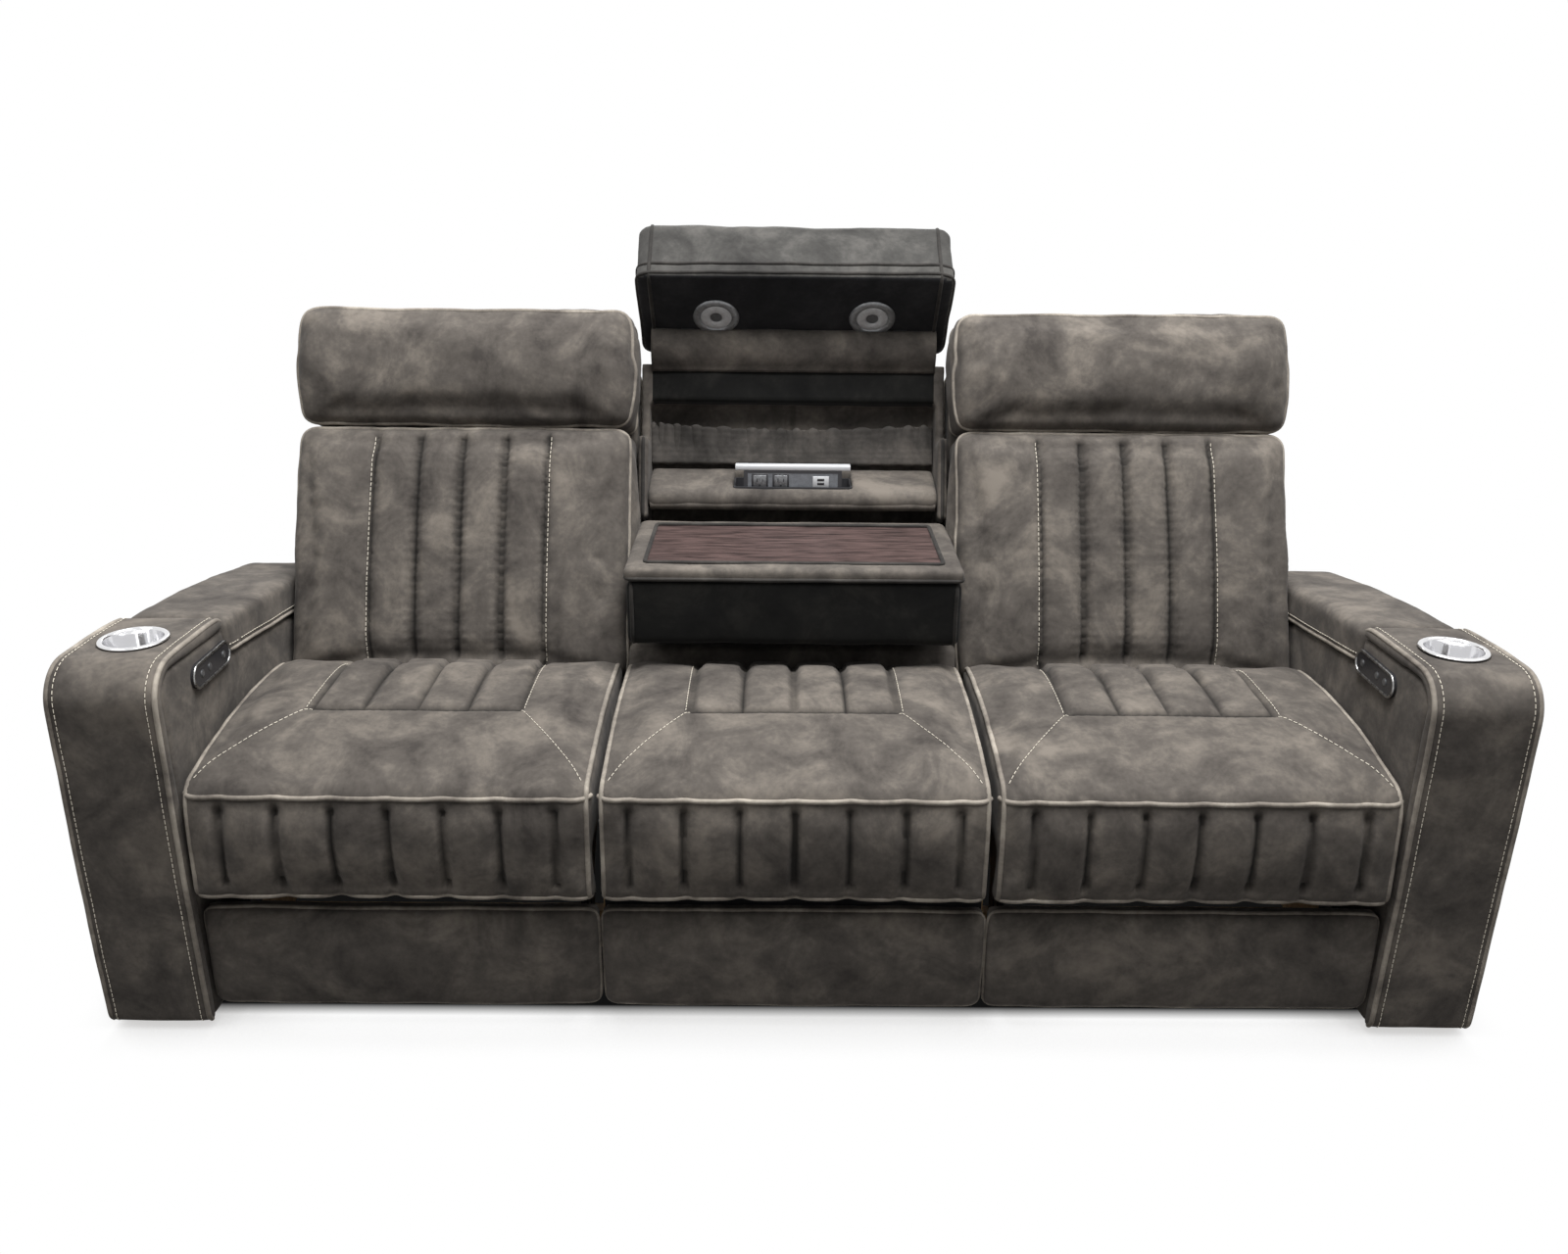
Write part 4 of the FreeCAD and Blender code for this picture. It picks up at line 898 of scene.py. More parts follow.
@dataclass
class Seat:
    """A seat cushion: channelled border, plain front and raised channelled insert."""

    node: str
    body: str
    middle: float
    half: float
    nodes: dict[str, bpy.types.Object]
    pitch: float = 0.086
    pipe_level: float = 0.426
    insert_front: float = FRONT + 0.206
    insert_half: float = 0.172

    def seams(self) -> list[Seam]:
        """The sewn lines of the border and of the insert.

        Returns:
            The seams.
        """
        made, up = [], Vector((0, 0, 1))
        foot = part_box(self.node)[0].z + 0.030
        for step in range(-3, 4):
            x = self.middle + step * self.pitch
            low, high = Vector((x, FRONT, foot)), Vector((x, FRONT, self.pipe_level - 0.020))
            made.append(Seam(low, high, 0.010, 0.008, lambda p: p.y < FRONT + 0.02))
        for step in (-1, 0, 1):
            x = self.middle + step * self.pitch
            start, end = Vector((x, self.insert_front, 0.474)), Vector((x, -0.06, 0.482))
            made.append(Seam(start, end, 0.010, 0.009, lambda p: p.z > 0.44, through=up))
        for hand in (-1, 1):
            x = self.middle + hand * self.insert_half
            start, end = Vector((x, self.insert_front, 0.468)), Vector((x, -0.06, 0.476))
            made.append(Seam(start, end, 0.009, 0.009, lambda p: p.z > 0.43, through=up))
        left = Vector((self.middle - self.insert_half, self.insert_front, 0.468))
        right = Vector((self.middle + self.insert_half, self.insert_front, 0.468))
        made.append(Seam(left, right, 0.009, 0.010, lambda p: p.z > 0.43, through=up))
        return made

    def build(self) -> bpy.types.Object:
        """Makes the cushion with its piping and thread.

        Returns:
            The cushion.
        """
        pad = padded_copy(self.node, self.node + "_cover", self.nodes, Padding(swell=0.012))
        sew(pad, self.seams())
        skin, trim = Skin(pad), Trim(self.node, self.body)
        for hand in (-1, 1):
            x = self.middle + hand * (self.half - 0.009)
            loop = section(pad, Vector((x, 0, 0)), Vector((1, 0, 0)))[0]
            trim.strips += runs(loop, lambda p: p.z > 0.253 and (p.y < FRONT + 0.02 or p.z > 0.42))[:1]
        lowest = float(read_points(pad.data, "co")[:, 2].min())
        for level in (self.pipe_level, lowest + 0.0065):
            loop = section(pad, Vector((0, 0, level)), Vector((0, 0, 1)))[0]
            trim.strips += runs(loop, lambda p: p.y < FRONT + 0.024)[:1]
        for hand in (-1, 1):
            corner = Vector((self.middle + hand * (self.half - 0.018), FRONT + 0.03, 0.7))
            inner = Vector((self.middle + hand * self.insert_half, self.insert_front, 0.7))
            rear = Vector((inner.x, -0.09, 0.7))
            down = Vector((0, 0, -1))
            trim.rows.append(skin.line(corner, inner, 0.0008, down))
            shift = Vector((hand * 0.009, 0, 0))
            trim.rows.append(skin.line(inner + shift, rear + shift, 0.0008, down))
        trim.make()
        settle(pad, self.body, SUEDE)
        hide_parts(self.node)
        return pad


@dataclass
class Backrest:
    """The lower back cushion, headrest and outer shell of one recliner."""

    side: Side
    nodes: dict[str, bpy.types.Object]
    half: float = 0.3155
    pitch: float = 0.081
    stitch_place: float = 0.162

    @property
    def middle(self) -> float:
        """The recliner's middle."""
        return self.side.value * SEAT_MIDDLE

    def ahead(self, point: Vector) -> bool:
        """Tells whether a point is on the front of the lower cushion."""
        return (point - lean_point(0, 0.03, 0)).dot(lean_point(0, 1, 0) - lean_point(0, 0, 0)) < 0

    def cushion(self) -> bpy.types.Object:
        """Makes the lower cushion with three seams and two rows of thread.

        Returns:
            The cushion.
        """
        node, body = "back_cushion_" + self.side.word, "back_" + self.side.word
        pad = padded_copy(node, node + "_cover", self.nodes, Padding(swell=0.014, wrinkle=0.003))
        seams, inward = [], lean_point(0, 1, 0) - lean_point(0, 0, 0)
        for step in (-1, 0, 1):
            x = self.middle + step * self.pitch
            low, high = lean_point(x, -0.044, -0.02), lean_point(x, -0.012, 0.395)
            seams.append(Seam(low, high, 0.012, 0.010, self.ahead, 0.001, inward))
        for hand in (-1, 1):
            x = self.middle + hand * self.stitch_place
            low, high = lean_point(x, -0.044, -0.04), lean_point(x, -0.012, 0.400)
            seams.append(Seam(low, high, 0.007, 0.008, self.ahead, through=inward))
        sew(pad, seams)
        skin, trim = Skin(pad), Trim(node, body)
        low, high = lean_point(0, -0.014, -0.07), lean_point(0, 0.022, 0.414)
        normal = (high - low).cross(Vector((1, 0, 0)))
        trim.loops.append(section(pad, low, normal)[0])
        toward = (lean_point(0, 1, 0) - lean_point(0, 0, 0)).normalized()
        for hand in (-1, 1):
            x = self.middle + hand * (self.stitch_place + 0.006)
            trim.rows.append(skin.line(lean_point(x, -0.3, -0.03), lean_point(x, -0.3, 0.4), 0.0008, toward))
        trim.make()
        settle(pad, body, SUEDE)
        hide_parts(node)
        return pad

    def headrest(self) -> bpy.types.Object:
        """Makes the headrest with its piping.

        Returns:
            The headrest.
        """
        node = body = "headrest_" + self.side.word
        pad = padded_copy(node, node + "_cover", self.nodes, Padding(swell=0.012, wrinkle=0.004))
        sew(pad, [])
        trim = Trim(node, body)
        normal = lean_point(0, 1, 0) - lean_point(0, 0, 0)
        for set_back in (0.022, 0.128):
            trim.loops.append(section(pad, lean_point(0, set_back, 0.53), normal)[0])
        trim.make()
        settle(pad, body, SUEDE)
        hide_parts(node)
        return pad

    def shell(self) -> bpy.types.Object:
        """Makes the upholstered shell behind the cushions.

        Returns:
            The shell.
        """
        node, body = "back_frame_" + self.side.word, "back_" + self.side.word
        pad = padded_copy(node, node + "_cover", self.nodes, Padding(voxel=0.006, relax=2))
        sew(pad, [])
        trim = Trim(node, body)
        normal = lean_point(0, 1, 0) - lean_point(0, 0, 0)
        trim.loops.append(section(pad, lean_point(0, 0.212, 0.2), normal)[0])
        trim.make()
        settle(pad, body, SUEDE)
        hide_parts(node)
        return pad

    def build(self) -> None:
        """Makes all three."""
        for make in (self.shell, self.cushion, self.headrest):
            LOG.info("made %s", make().name)


@dataclass
class FrontPanel:
    """A plain padded panel under a seat."""

    node: str
    body: str
    nodes: dict[str, bpy.types.Object]

    def build(self) -> bpy.types.Object:
        """Makes the panel with piping round its face.

        Returns:
            The panel.
        """
        padding = Padding(voxel=0.006, relax=2, wrinkle=0.0022)
        pad = padded_copy(self.node, self.node + "_cover", self.nodes, padding)
        sew(pad, [])
        trim = Trim(self.node, self.body, 0.0036)
        trim.loops.append(section(pad, Vector((0, FRONT + 0.026, 0)), Vector((0, 1, 0)))[0])
        trim.make()
        settle(pad, self.body, SUEDE)
        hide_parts(self.node)
        return pad


@dataclass
class Arm:
    """One arm: body, padded band, storage lid, steel cup and control panel."""

    side: Side
    nodes: dict[str, bpy.types.Object]
    inner: float = 0.947
    outer: float = 1.118

    def band(self) -> bpy.types.Object:
        """Makes the band over the arm's front and top, sewn near both edges.

        Returns:
            The band.
        """
        node = "arm_band_" + self.side.word
        pad = padded_copy(node, node + "_cover", self.nodes, Padding(voxel=0.005, relax=2))
        sew(pad, [])
        skin, trim = Skin(pad), Trim(node, "root")

        def outside(point: Vector) -> bool:
            """Tells whether a point is on the front or the top of the band."""
            shoulder = point.z > 0.55 and point.y < FRONT + 0.05
            return point.y < FRONT + 0.012 or point.z > 0.622 or shoulder

        welts, threads = (self.inner + 0.006, self.outer - 0.005), (self.inner + 0.018, self.outer - 0.016)
        for place, row in ((welts[0], False), (threads[0], True), (threads[1], True), (welts[1], False)):
            loop = section(pad, Vector((self.side.value * place, 0, 0)), Vector((1, 0, 0)))[0]
            kept = runs(loop, outside)[:1]
            if row:
                trim.rows += [skin.lay(resample(run, 0.006, False), 0.0009) for run in kept]
            else:
                trim.strips += kept
        trim.make()
        settle(pad, "root", SUEDE)
        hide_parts(node)
        return pad

    def body(self) -> bpy.types.Object:
        """Makes the covered body of the arm.

        Returns:
            The body.
        """
        node = "arm_frame_" + self.side.word
        pad = padded_copy(node, node + "_cover", self.nodes, Padding(voxel=0.006, relax=1, wrinkle=0.0012))
        sew(pad, [])
        settle(pad, "root", SUEDE)
        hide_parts(node)
        return pad

    def lid(self) -> bpy.types.Object:
        """Makes the padded storage lid with piping and thread along its lower edge.

        Returns:
            The lid.
        """
        node = body = "arm_lid_" + self.side.word
        pad = padded_copy(node, node + "_cover", self.nodes, Padding(voxel=0.0055, relax=3, wrinkle=0.002))
        sew(pad, [])
        skin, trim = Skin(pad), Trim(node, body, 0.0036)
        fall = math.radians(6.5)
        normal = Vector((0, math.sin(fall), math.cos(fall)))
        for lift, row in ((0.006, False), (0.016, True)):
            loop = section(pad, Vector((0, FRONT + 0.255, 0.5624 + lift)), normal)[0]
            if row:
                trim.rows.append(skin.lay(resample(loop, 0.006, True), 0.0009))
            else:
                trim.loops.append(loop)
        trim.make()
        settle(pad, body, SUEDE)
        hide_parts(node)
        return pad

    def cup(self) -> bpy.types.Object:
        """Spins the steel cup with its flat rim and rolled lip.

        Returns:
            The cup.
        """
        node = "cup_holder_" + self.side.word
        low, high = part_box(node)
        middle = (low + high) / 2
        rim, bore = (high.x - low.x) / 2, 0.043
        outline = (
            (0.001, low.z + 0.0015), (bore - 0.007, low.z + 0.0015), (bore - 0.002, low.z + 0.0035),
            (bore, low.z + 0.009), (bore, high.z - 0.004), (bore + 0.0012, high.z - 0.0012),
            (bore + 0.003, high.z - 0.0003), (rim - 0.002, high.z - 0.001), (rim, high.z - 0.0028),
            (rim - 0.001, high.z - 0.0042), (bore + 0.0032, high.z - 0.0042), (bore + 0.0015, high.z - 0.006),
            (bore + 0.0015, low.z + 0.009), (bore - 0.001, low.z + 0.002), (bore - 0.007, low.z),
            (0.001, low.z),
        )
        shape = bmesh.new()
        verts = [shape.verts.new((middle.x + r, middle.y, z)) for r, z in outline]
        edges = [shape.edges.new(pair) for pair in zip(verts, verts[1:])]
        bmesh.ops.spin(
            shape, geom=verts + edges, cent=(middle.x, middle.y, 0), axis=(0, 0, 1),
            angle=2 * math.pi, steps=72, use_merge=True,
        )
        bmesh.ops.holes_fill(shape, edges=[e for e in shape.edges if e.is_boundary])
        bmesh.ops.remove_doubles(shape, verts=shape.verts, dist=1e-6)
        bmesh.ops.recalc_face_normals(shape, faces=shape.faces)
        mesh = bpy.data.meshes.new(node + "_steel")
        shape.to_mesh(mesh)
        shape.free()
        piece = settle(link_mesh(node + "_steel", mesh), "root", CUP_STEEL)
        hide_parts(node)
        return piece

    def panel(self) -> bpy.types.Object:
        """Adds the metal bezel round the control panel.

        Returns:
            The bezel.
        """
        node = "control_panel_" + self.side.word
        low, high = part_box(node)
        dress(self.nodes[node], GLOSS)
        for key in ("open_key_", "close_key_", "home_key_"):
            dress(self.nodes[key + self.side.word], KEY)
        x = low.x + 0.0004 if self.side is Side.RIGHT else high.x - 0.0004
        radius, length = (high.z - low.z) / 2 - 0.002, (high.y - low.y) / 2 - 0.002
        middle = (low + high) / 2
        path = []
        for step in range(48):
            turn = 2 * math.pi * step / 48
            reach = (length - radius) * (1 if math.cos(turn) >= 0 else -1)
            y = middle.y + reach + radius * math.cos(turn)
            path.append(Vector((x, y, middle.z + radius * math.sin(turn))))
        piece = tube(node + "_bezel", [path], 0.0024, True, 3)
        return settle(piece, "root", BEZEL)

    def build(self) -> None:
        """Makes the whole arm."""
        for make in (self.body, self.band, self.lid, self.cup, self.panel):
            LOG.info("made %s", make().name)


@dataclass
class Centre:
    """The centre section: console, table, niche, power dock and raised headrest with lights."""

    nodes: dict[str, bpy.types.Object]

    def plain(
        self, node: str, body: str, padding: Padding, finish: SuedeFinish = SUEDE
    ) -> tuple[bpy.types.Object, Trim]:
        """Makes a padded copy that stands for its node.

        Args:
            node: The node.
            body: The body it rides on.
            padding: How it is worked over.
            finish: Its cover.

        Returns:
            The pad and an empty trim for it.
        """
        pad = padded_copy(node, node + "_cover", self.nodes, padding)
        sew(pad, [])
        settle(pad, body, finish)
        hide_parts(node)
        # the centre's piping takes the darker copy, painting its shade
        return pad, Trim(node, body, 0.0038, DARK_WELT)

    def console(self) -> None:
        """Makes the folded console back and its padded table."""
        # the console back takes the near-black copy of the cover, painting the shadow under the table
        pad, trim = self.plain("console_back", "console", Padding(voxel=0.006, wrinkle=0.002), SHADOW)
        low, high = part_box("console_back")
        for x in (low.x + 0.010, high.x - 0.010):
            trim.loops.append(section(pad, Vector((x, 0, 0)), Vector((1, 0, 0)))[0])
        trim.make()
        pad, trim = self.plain("console_table", "console", Padding(voxel=0.0045, relax=1))
        low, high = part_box("console_table")
        trim.loops.append(section(pad, Vector((0, 0, low.z + 0.006)), Vector((0, 0, 1)))[0])
        inset, level = 0.034, high.z + 0.0008
        left, right, ahead, behind = low.x + inset, high.x - inset, low.y + inset, high.y - inset
        corners = ((left, ahead), (right, ahead), (right, behind), (left, behind))
        ring = [Vector((x, y, level)) for x, y in corners]
        trim.loops.append(ring + ring[:1])
        trim.make()
        dress(self.nodes["table_laminate"], LAMINATE)

    def headrest(self) -> None:
        """Makes the raised headrest in a darker copy of the cover that paints its shade, with its lined
        underside, whose near-black also paints the overhang's shade, double welt and fold of cover below.
        """
        padding = Padding(voxel=0.006, relax=2, wrinkle=0.003)
        # the whole headrest takes the darker copy of the cover, painting its shade
        pad, trim = self.plain("centre_headrest", "centre_headrest", padding, SHADED)
        out = (raised_point(0, 1, 0.5) - raised_point(0, 0, 0.5)).normalized()
        # the lamp face under the overhang takes the near-black lining, which also paints the overhang's shade
        line_part(pad, LINING_AND_SHADE, lambda face: face.normal.dot(out) > 0.8)
        low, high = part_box("centre_headrest")
        for x in (low.x + 0.026, high.x - 0.026):
            trim.loops.append(section(pad, Vector((x, 0, 0)), Vector((1, 0, 0)))[0])
        for set_back in (0.116, 0.140):
            trim.loops.append(section(pad, raised_point(0, set_back, 0.5), out)[0])
        trim.make()
        self.fold()
        dress(self.nodes["headrest_arms"], STEEL)
        for side in Side:
            self.lamp(side, out)

    def fold(self) -> None:
        """Makes the loose cover that joins the headrest to the niche's top rail."""
        profile = (
            (0.366, 1.026), (0.354, 1.020), (0.345, 1.008), (0.341, 0.992),
            (0.342, 0.976), (0.346, 0.963), (0.3505, 0.953), (0.3535, 0.943),
        )
        shape = bmesh.new()
        rows, half, columns = [], 0.286, 48
        for step in range(columns + 1):
            x = half * (2 * step / columns - 1)
            puff = 0.0035 * noise.fractal(Vector((x * 9, 0.3, 0.1)), 1.0, 2.0, 3)
            swells = [puff * math.sin(math.pi * step / 7) for step in range(len(profile))]
            rows.append([shape.verts.new((x, y + out, z)) for out, (y, z) in zip(swells, profile)])
        for left, right in zip(rows, rows[1:]):
            for quad in zip(left, left[1:], right[1:], right):
                shape.faces.new(quad)
        bmesh.ops.subdivide_edges(shape, edges=shape.edges[:], cuts=1, use_grid_fill=True, smooth=1.0)
        mesh = bpy.data.meshes.new("headrest_fold")
        shape.to_mesh(mesh)
        shape.free()
        piece = link_mesh("headrest_fold", mesh)
        thick = piece.modifiers.new("thick", "SOLIDIFY")
        thick.thickness, thick.offset = 0.003, 0.0
        apply_modifiers(piece)
        dress(piece, SUEDE)
        piece.data.polygons.foreach_set("use_smooth", [True] * len(piece.data.polygons))
        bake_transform(piece)

    def lamp(self, side: Side, out: Vector) -> None:
        """Dresses one reading light: rim, pale lens and button."""
        low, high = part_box("light_button_" + side.word)
        face = (low + high) / 2 + out * 0.001
        rim = (
            (0.0305, 0.0012), (0.0325, 0.0034), (0.0365, 0.0042),
            (0.0425, 0.0036), (0.0455, 0.0014), (0.0458, -0.0006),
        )
        lens = ((0.0310, 0.0010), (0.0290, 0.0030), (0.0220, 0.0036), (0.0140, 0.0026), (0.0122, 0.0010))
        settle(turned("lamp_rim_" + side.word, face, out, rim), "centre_headrest", RIM)
        settle(turned("lamp_lens_" + side.word, face, out, lens), "centre_headrest", LENS)
        dress(self.nodes["light_button_" + side.word], BUTTON)
        dress(self.nodes["reading_lights"], RIM)

    def niche(self) -> None:
        """Makes the niche with its shelf and its gathered pocket."""
        pad, trim = self.plain("niche_frame", "root", Padding(voxel=0.006, relax=1))
        low, high = lean_point(0, 0.209, 0.33), lean_point(0, 0.209, 0.50)
        sew(pad, [Seam(low, high, 0.004, 0.006, lambda p: 0.70 < p.z < 0.87)])
        ahead = (lean_point(0, -1, 0) - lean_point(0, 0, 0)).normalized()
        foot = lean_point(0, 0, 0)

        def rail_in_shade(face: bpy.types.MeshPolygon) -> bool:
            """Tells whether a face is on the front of the rail over the niche, where the shade is painted."""
            away = Vector(face.center) - foot
            return face.center.z > 0.872 and abs(face.center.x) < 0.285 and -away.dot(ahead) < 0.190

        def wing_edge(point: Vector) -> bool:
            """Tells whether a point is on the front edge of a side wing."""
            lean = (point.z - SEAT_HEIGHT) * math.tan(LEAN)
            return point.z > 0.62 and point.y < FOOT + lean + 0.15

        # painted shade: the rail under the raised headrest takes the near-black copy of the cover
        line_part(pad, SHADOW, rail_in_shade)
        for x in (-0.298, 0.298):
            loop = section(pad, Vector((x, 0, 0)), Vector((1, 0, 0)))[0]
            trim.strips += runs(loop, wing_edge)[:1]
        trim.make()
        self.plain("console_shelf", "root", Padding(voxel=0.005, relax=3))
        low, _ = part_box("console_shelf")
        thick = 0.011
        roll = [Vector((x, low.y + thick, low.z + thick - 0.004)) for x in np.linspace(-0.284, 0.284, 60)]
        settle(tube("shelf_roll", [roll], thick, False, 4), "root", SUEDE)
        # the pocket takes the darker copy of the cover, painting the niche's shade
        pad, trim = self.plain("niche_pocket", "root", Padding(voxel=0.004, relax=1), POCKET)
        points, normals = read_points(pad.data, "co"), read_points(pad.data, "normal")
        folds = np.sin(points[:, 0] * 2 * math.pi / 0.043 + 2.2 * np.sin(points[:, 0] * 23)) * 0.0042
        top = np.clip((points[:, 2] - 0.77) / 0.06, 0, 1)
        points = points + normals * (folds * (0.25 + 0.75 * top))[:, None]
        sag = 0.010 * np.cos(points[:, 0] / 0.285 * math.pi / 2) * top
        points[:, 2] -= sag
        points[:, 1] -= sag * math.tan(LEAN)
        write_points(pad.data, points)

    def gap_shadow(self) -> None:
        """Makes a dark sheet behind the gap over the centre's front panel, which paints the shadow in that
        gap.
        """
        # painted shadow: the sheet hides the timber rail and stands for the shade in the gap
        cloth = slab("centre_gap_shadow", Vector((-0.305, -0.4662, 0.205)), Vector((0.305, -0.4643, 0.331)))
        settle(cloth, "root", LINING_AND_SHADE)

    def dock(self) -> None:
        """Dresses the flip-up power dock: black body, silver lid bar, two outlets and a charging module."""
        for node, finish in (("dock_housing", BLACK), ("power_dock", BLACK), ("dock_sockets", SOCKET)):
            dress(self.nodes[node], finish)
        low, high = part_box("power_dock")
        grow = Vector((0.0004, 0.0006, 0.0004))
        bar = slab("dock_lid_bar", Vector((low.x, low.y, high.z - 0.009)) - grow, high + grow, 0.0012)
        settle(bar, "power_dock", SILVER)
        low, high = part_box("dock_sockets")
        front, middle = low.y, (low.z + high.z) / 2
        plates, holes = [], []
        slots = (
            (-0.0055, 0.0016, 0.002, 0.0075), (0.0055, 0.0016, 0.002, 0.0062), (0.0, 0.004, -0.008, 0.0042),
        )
        for x in (-0.066, -0.024):
            word = "left" if x < -0.05 else "right"
            border_low = Vector((x - 0.0165, front - 0.0007, middle - 0.0155))
            border_high = Vector((x + 0.0165, front + 0.002, middle + 0.0155))
            border = slab("dock_border_" + word, border_low, border_high, 0.0006)
            settle(border, "power_dock", GLOSS)
            plates.append((x - 0.0130, x + 0.0130, middle - 0.0125, middle + 0.0125))
            for shift, width, drop, tall in slots:
                place, level = x + shift, middle + drop + 0.001
                holes.append((place - width / 2, place + width / 2, level - tall / 2, level + tall / 2))
        plates.append((0.040, 0.072, middle - 0.011, middle + 0.011))
        for low_edge in (0.0015, -0.0065):
            holes.append((0.049, 0.063, middle + low_edge, middle + low_edge + 0.005))
        for count, (x0, x1, z0, z1) in enumerate(plates):
            corners = Vector((x0, front - 0.0012, z0)), Vector((x1, front + 0.002, z1))
            plate = slab(f"dock_plate_{count}", *corners, 0.0008)
            settle(plate, "power_dock", SILVER if count == 2 else KEY)
        # painted shade: thin black slabs on the plates stand for the dark inside each slot and port
        for count, (x0, x1, z0, z1) in enumerate(holes):
            corners = Vector((x0, front - 0.0016, z0)), Vector((x1, front, z1))
            hole = slab(f"dock_hole_{count}", *corners, 0.0002)
            settle(hole, "power_dock", GLOSS)
        for x in (low.x - 0.016, high.x + 0.016):
            word, spot = "left" if x < 0 else "right", Vector((x, front - 0.001, low.z + 0.001))
            outline = ((0.0, 0.004), (0.0035, 0.0038), (0.0048, 0.0024), (0.005, -0.001))
            knob = turned("dock_knob_" + word, spot, Vector((0, -1, 0)), outline)
            settle(knob, "power_dock", SILVER)

    def build(self) -> None:
        """Makes the whole section."""
        Seat("centre_seat", "root", 0.0, 0.307, self.nodes).build()
        FrontPanel("centre_front_panel", "root", self.nodes).build()
        for make in (self.console, self.headrest, self.niche, self.gap_shadow, self.dock):
            make()
            LOG.info("made the centre's %s", make.__name__)


@dataclass
class Mechanism:
    """The parts under the seats, which keep their solids and get their finishes."""

    nodes: dict[str, bpy.types.Object]

    def build(self) -> None:
        """Dresses every node by the start of its name."""
        finishes = {
            "base_frame": TIMBER, "floor_glides": BLACK, "steel_brackets": STEEL, "console_hinge_arms": STEEL,
            "seat_frame": STEEL, "seat_webbing": WEBBING, "gear_motor": BLACK, "rear_links": STEEL,
            "cross_links": STEEL, "front_cross": STEEL, "footrest_links": STEEL,
        }
        for name, piece in self.nodes.items():
            for start, finish in finishes.items():
                if name.startswith(start):
                    dress(piece, finish)


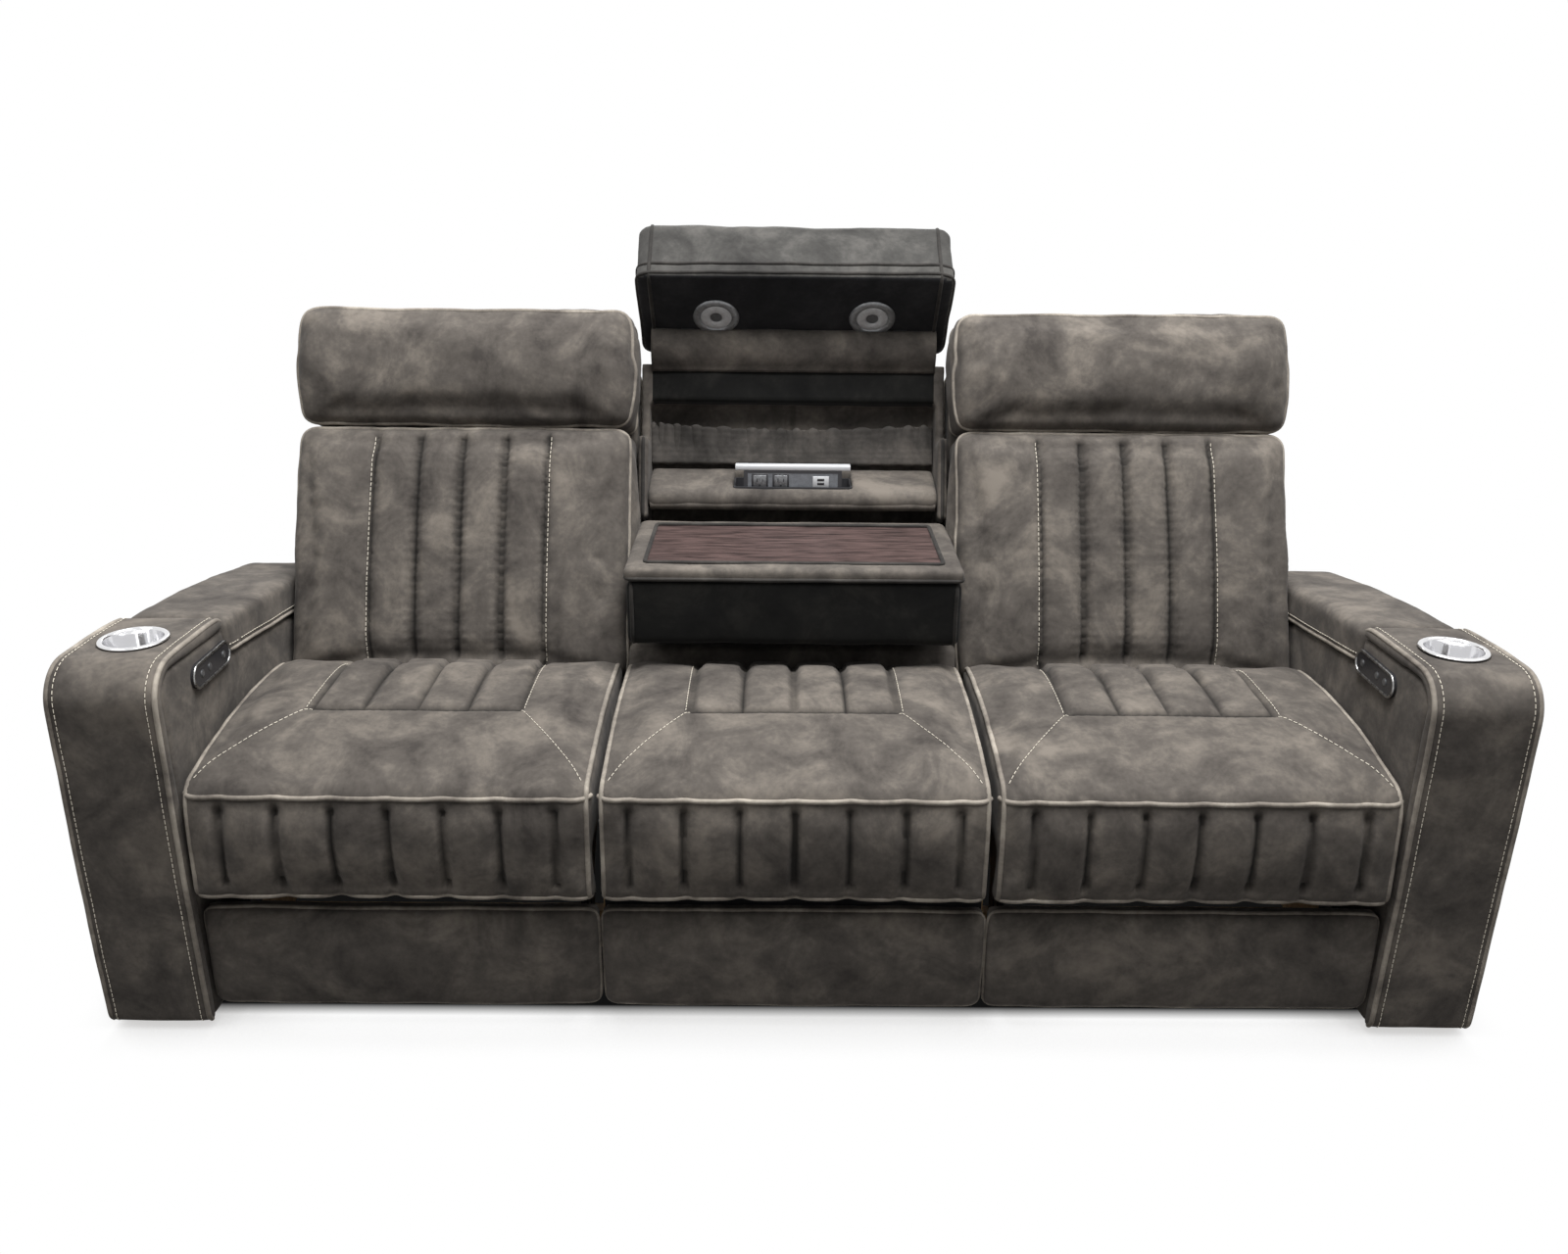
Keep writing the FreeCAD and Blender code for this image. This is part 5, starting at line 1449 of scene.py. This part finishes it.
@dataclass
class Studio:
    """The camera, the pale floor and the soft lights."""

    eye: tuple[float, float, float] = (-0.034, -2.244, 1.358)
    pitch: float = math.radians(20.40)
    roll: float = math.radians(0.61)
    yaw: float = math.radians(0.45)
    lens: float = 29.25

    def camera(self) -> None:
        """Places the camera as the photograph was taken."""
        data = bpy.data.cameras.new("view")
        data.sensor_width, data.lens = 36.0, self.lens
        data.clip_start, data.clip_end = 0.05, 60.0
        level = math.cos(self.pitch)
        ahead = Vector((math.sin(self.yaw) * level, math.cos(self.yaw) * level, -math.sin(self.pitch)))
        right = Vector((math.cos(self.yaw), -math.sin(self.yaw), 0.0))
        up = right.cross(ahead)
        right_turned = math.cos(self.roll) * right + math.sin(self.roll) * up
        up_turned = -math.sin(self.roll) * right + math.cos(self.roll) * up
        turn = Matrix((right_turned, up_turned, -ahead)).transposed().to_4x4()
        camera = bpy.data.objects.new("view", data)
        camera.matrix_world = Matrix.Translation(self.eye) @ turn
        bpy.context.scene.collection.objects.link(camera)
        bpy.context.scene.camera = camera

    def looking(self, board: Board) -> bpy.types.NodeSocket:
        """Finds whether a ray comes from the camera or by way of metal or glass.

        Args:
            board: Where the nodes go.

        Returns:
            One for such a ray, and none for a ray of plain light.
        """
        path = board.add("LightPath")
        seen = path.outputs["Is Camera Ray"]
        for other in ("Is Glossy Ray", "Is Transmission Ray"):
            seen = board.add("Math", {0: seen, 1: path.outputs[other]}, operation="MAXIMUM").outputs[0]
        return seen

    def floor(self) -> None:
        """Makes the white floor, which the camera sees as white with the sofa's shadow painted in from
        ambient occlusion and a dark patch under its footprint.
        """
        shape = bmesh.new()
        bmesh.ops.create_grid(shape, x_segments=1, y_segments=1, size=14.0)
        mesh = bpy.data.meshes.new("floor")
        shape.to_mesh(mesh)
        shape.free()
        floor = link_mesh("floor", mesh)
        made = bpy.data.materials.new("floor_white")
        made.use_nodes = True
        board = Board(made.node_tree)
        shader = made.node_tree.nodes["Principled BSDF"]
        shader.inputs["Base Color"].default_value = (*srgb(104, 102, 100), 1.0)
        shader.inputs["Roughness"].default_value = 0.9
        # painted shadow: ambient occlusion darkens the white that the camera sees near the sofa
        close = board.add("AmbientOcclusion", {"Distance": 0.16}, samples=8).outputs["AO"]
        white = board.ramp(close, ((0.25, srgb(205, 204, 203)), (0.7, srgb(255, 255, 255))))
        # painted shadow: a near-black patch under the sofa's footprint, fading out at its edges
        place = board.add("SeparateXYZ", {"Vector": board.add("TexCoord").outputs["Object"]})
        reach = []
        for axis, middle, inner, outer in (("X", 0.0, 1.04, 1.10), ("Y", -0.125, 0.315, 0.345)):
            shifted = board.add("Math", {0: place.outputs[axis], 1: middle}, operation="SUBTRACT").outputs[0]
            away = board.add("Math", {0: shifted}, operation="ABSOLUTE").outputs[0]
            fade = {"Value": away, "From Min": inner, "From Max": outer}
            reach.append(board.add("MapRange", fade).outputs[0])
        outside = board.add("Math", {0: reach[0], 1: reach[1]}, operation="MAXIMUM").outputs[0]
        covered = {"Factor": outside, 6: (*srgb(18, 18, 18), 1.0), 7: white}
        white = board.add("Mix", covered, data_type="RGBA").outputs[2]
        seen = board.add("Emission", {"Color": white, "Strength": 1.0}).outputs[0]
        mixed = board.add("MixShader", {0: self.looking(board), 1: shader.outputs[0], 2: seen}).outputs[0]
        made.node_tree.links.new(mixed, made.node_tree.nodes["Material Output"].inputs["Surface"])
        floor.data.materials.append(made)

    def lights(self) -> None:
        """Sets a white surround and five soft lamps."""
        world = bpy.data.worlds.new("surround")
        world.use_nodes = True
        board = Board(world.node_tree)
        levels = {"Value": self.looking(board), "To Min": 0.085, "To Max": 1.0}
        strength = board.add("MapRange", levels).outputs[0]
        background = world.node_tree.nodes["Background"]
        background.inputs["Color"].default_value = (1, 1, 1, 1)
        world.node_tree.links.new(strength, background.inputs["Strength"])
        bpy.context.scene.world = world
        for name, place, size, power in (
            ("overhead", (0.35, -0.55, 4.2), 2.2, 250.0),
            ("left", (-2.3, -1.3, 3.2), 1.4, 26.0),
            ("front", (0.8, -3.4, 2.2), 2.4, 7.0),
            ("right", (2.7, -0.3, 2.9), 1.6, 22.0),
            ("behind", (-0.4, 3.7, 2.5), 2.4, 48.0),
        ):
            data = bpy.data.lights.new(name, "AREA")
            data.size, data.energy = size, power
            lamp = bpy.data.objects.new(name, data)
            lamp.location = place
            lamp.rotation_mode = "QUATERNION"
            lamp.rotation_quaternion = (Vector((0, 0, 0.5)) - Vector(place)).to_track_quat("-Z", "Y")
            bpy.context.scene.collection.objects.link(lamp)

    def build(self) -> None:
        """Sets the whole studio."""
        bpy.context.scene.view_settings.view_transform = "Standard"
        self.camera()
        self.floor()
        self.lights()


def main() -> None:
    """Builds the sofa's pieces in order."""
    logging.basicConfig(level=logging.INFO, format="%(name)s: %(message)s")
    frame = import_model()
    nodes = frame["nodes"]
    Studio().build()
    Mechanism(nodes).build()
    for side in Side:
        Arm(side, nodes).build()
        cushion, body = "seat_cushion_" + side.word, "seat_" + side.word
        Seat(cushion, body, side.value * SEAT_MIDDLE, 0.3155, nodes).build()
        FrontPanel("footrest_" + side.word, "footrest_" + side.word, nodes).build()
        Backrest(side, nodes).build()
    Centre(nodes).build()


if __name__ == "__main__":
    main()
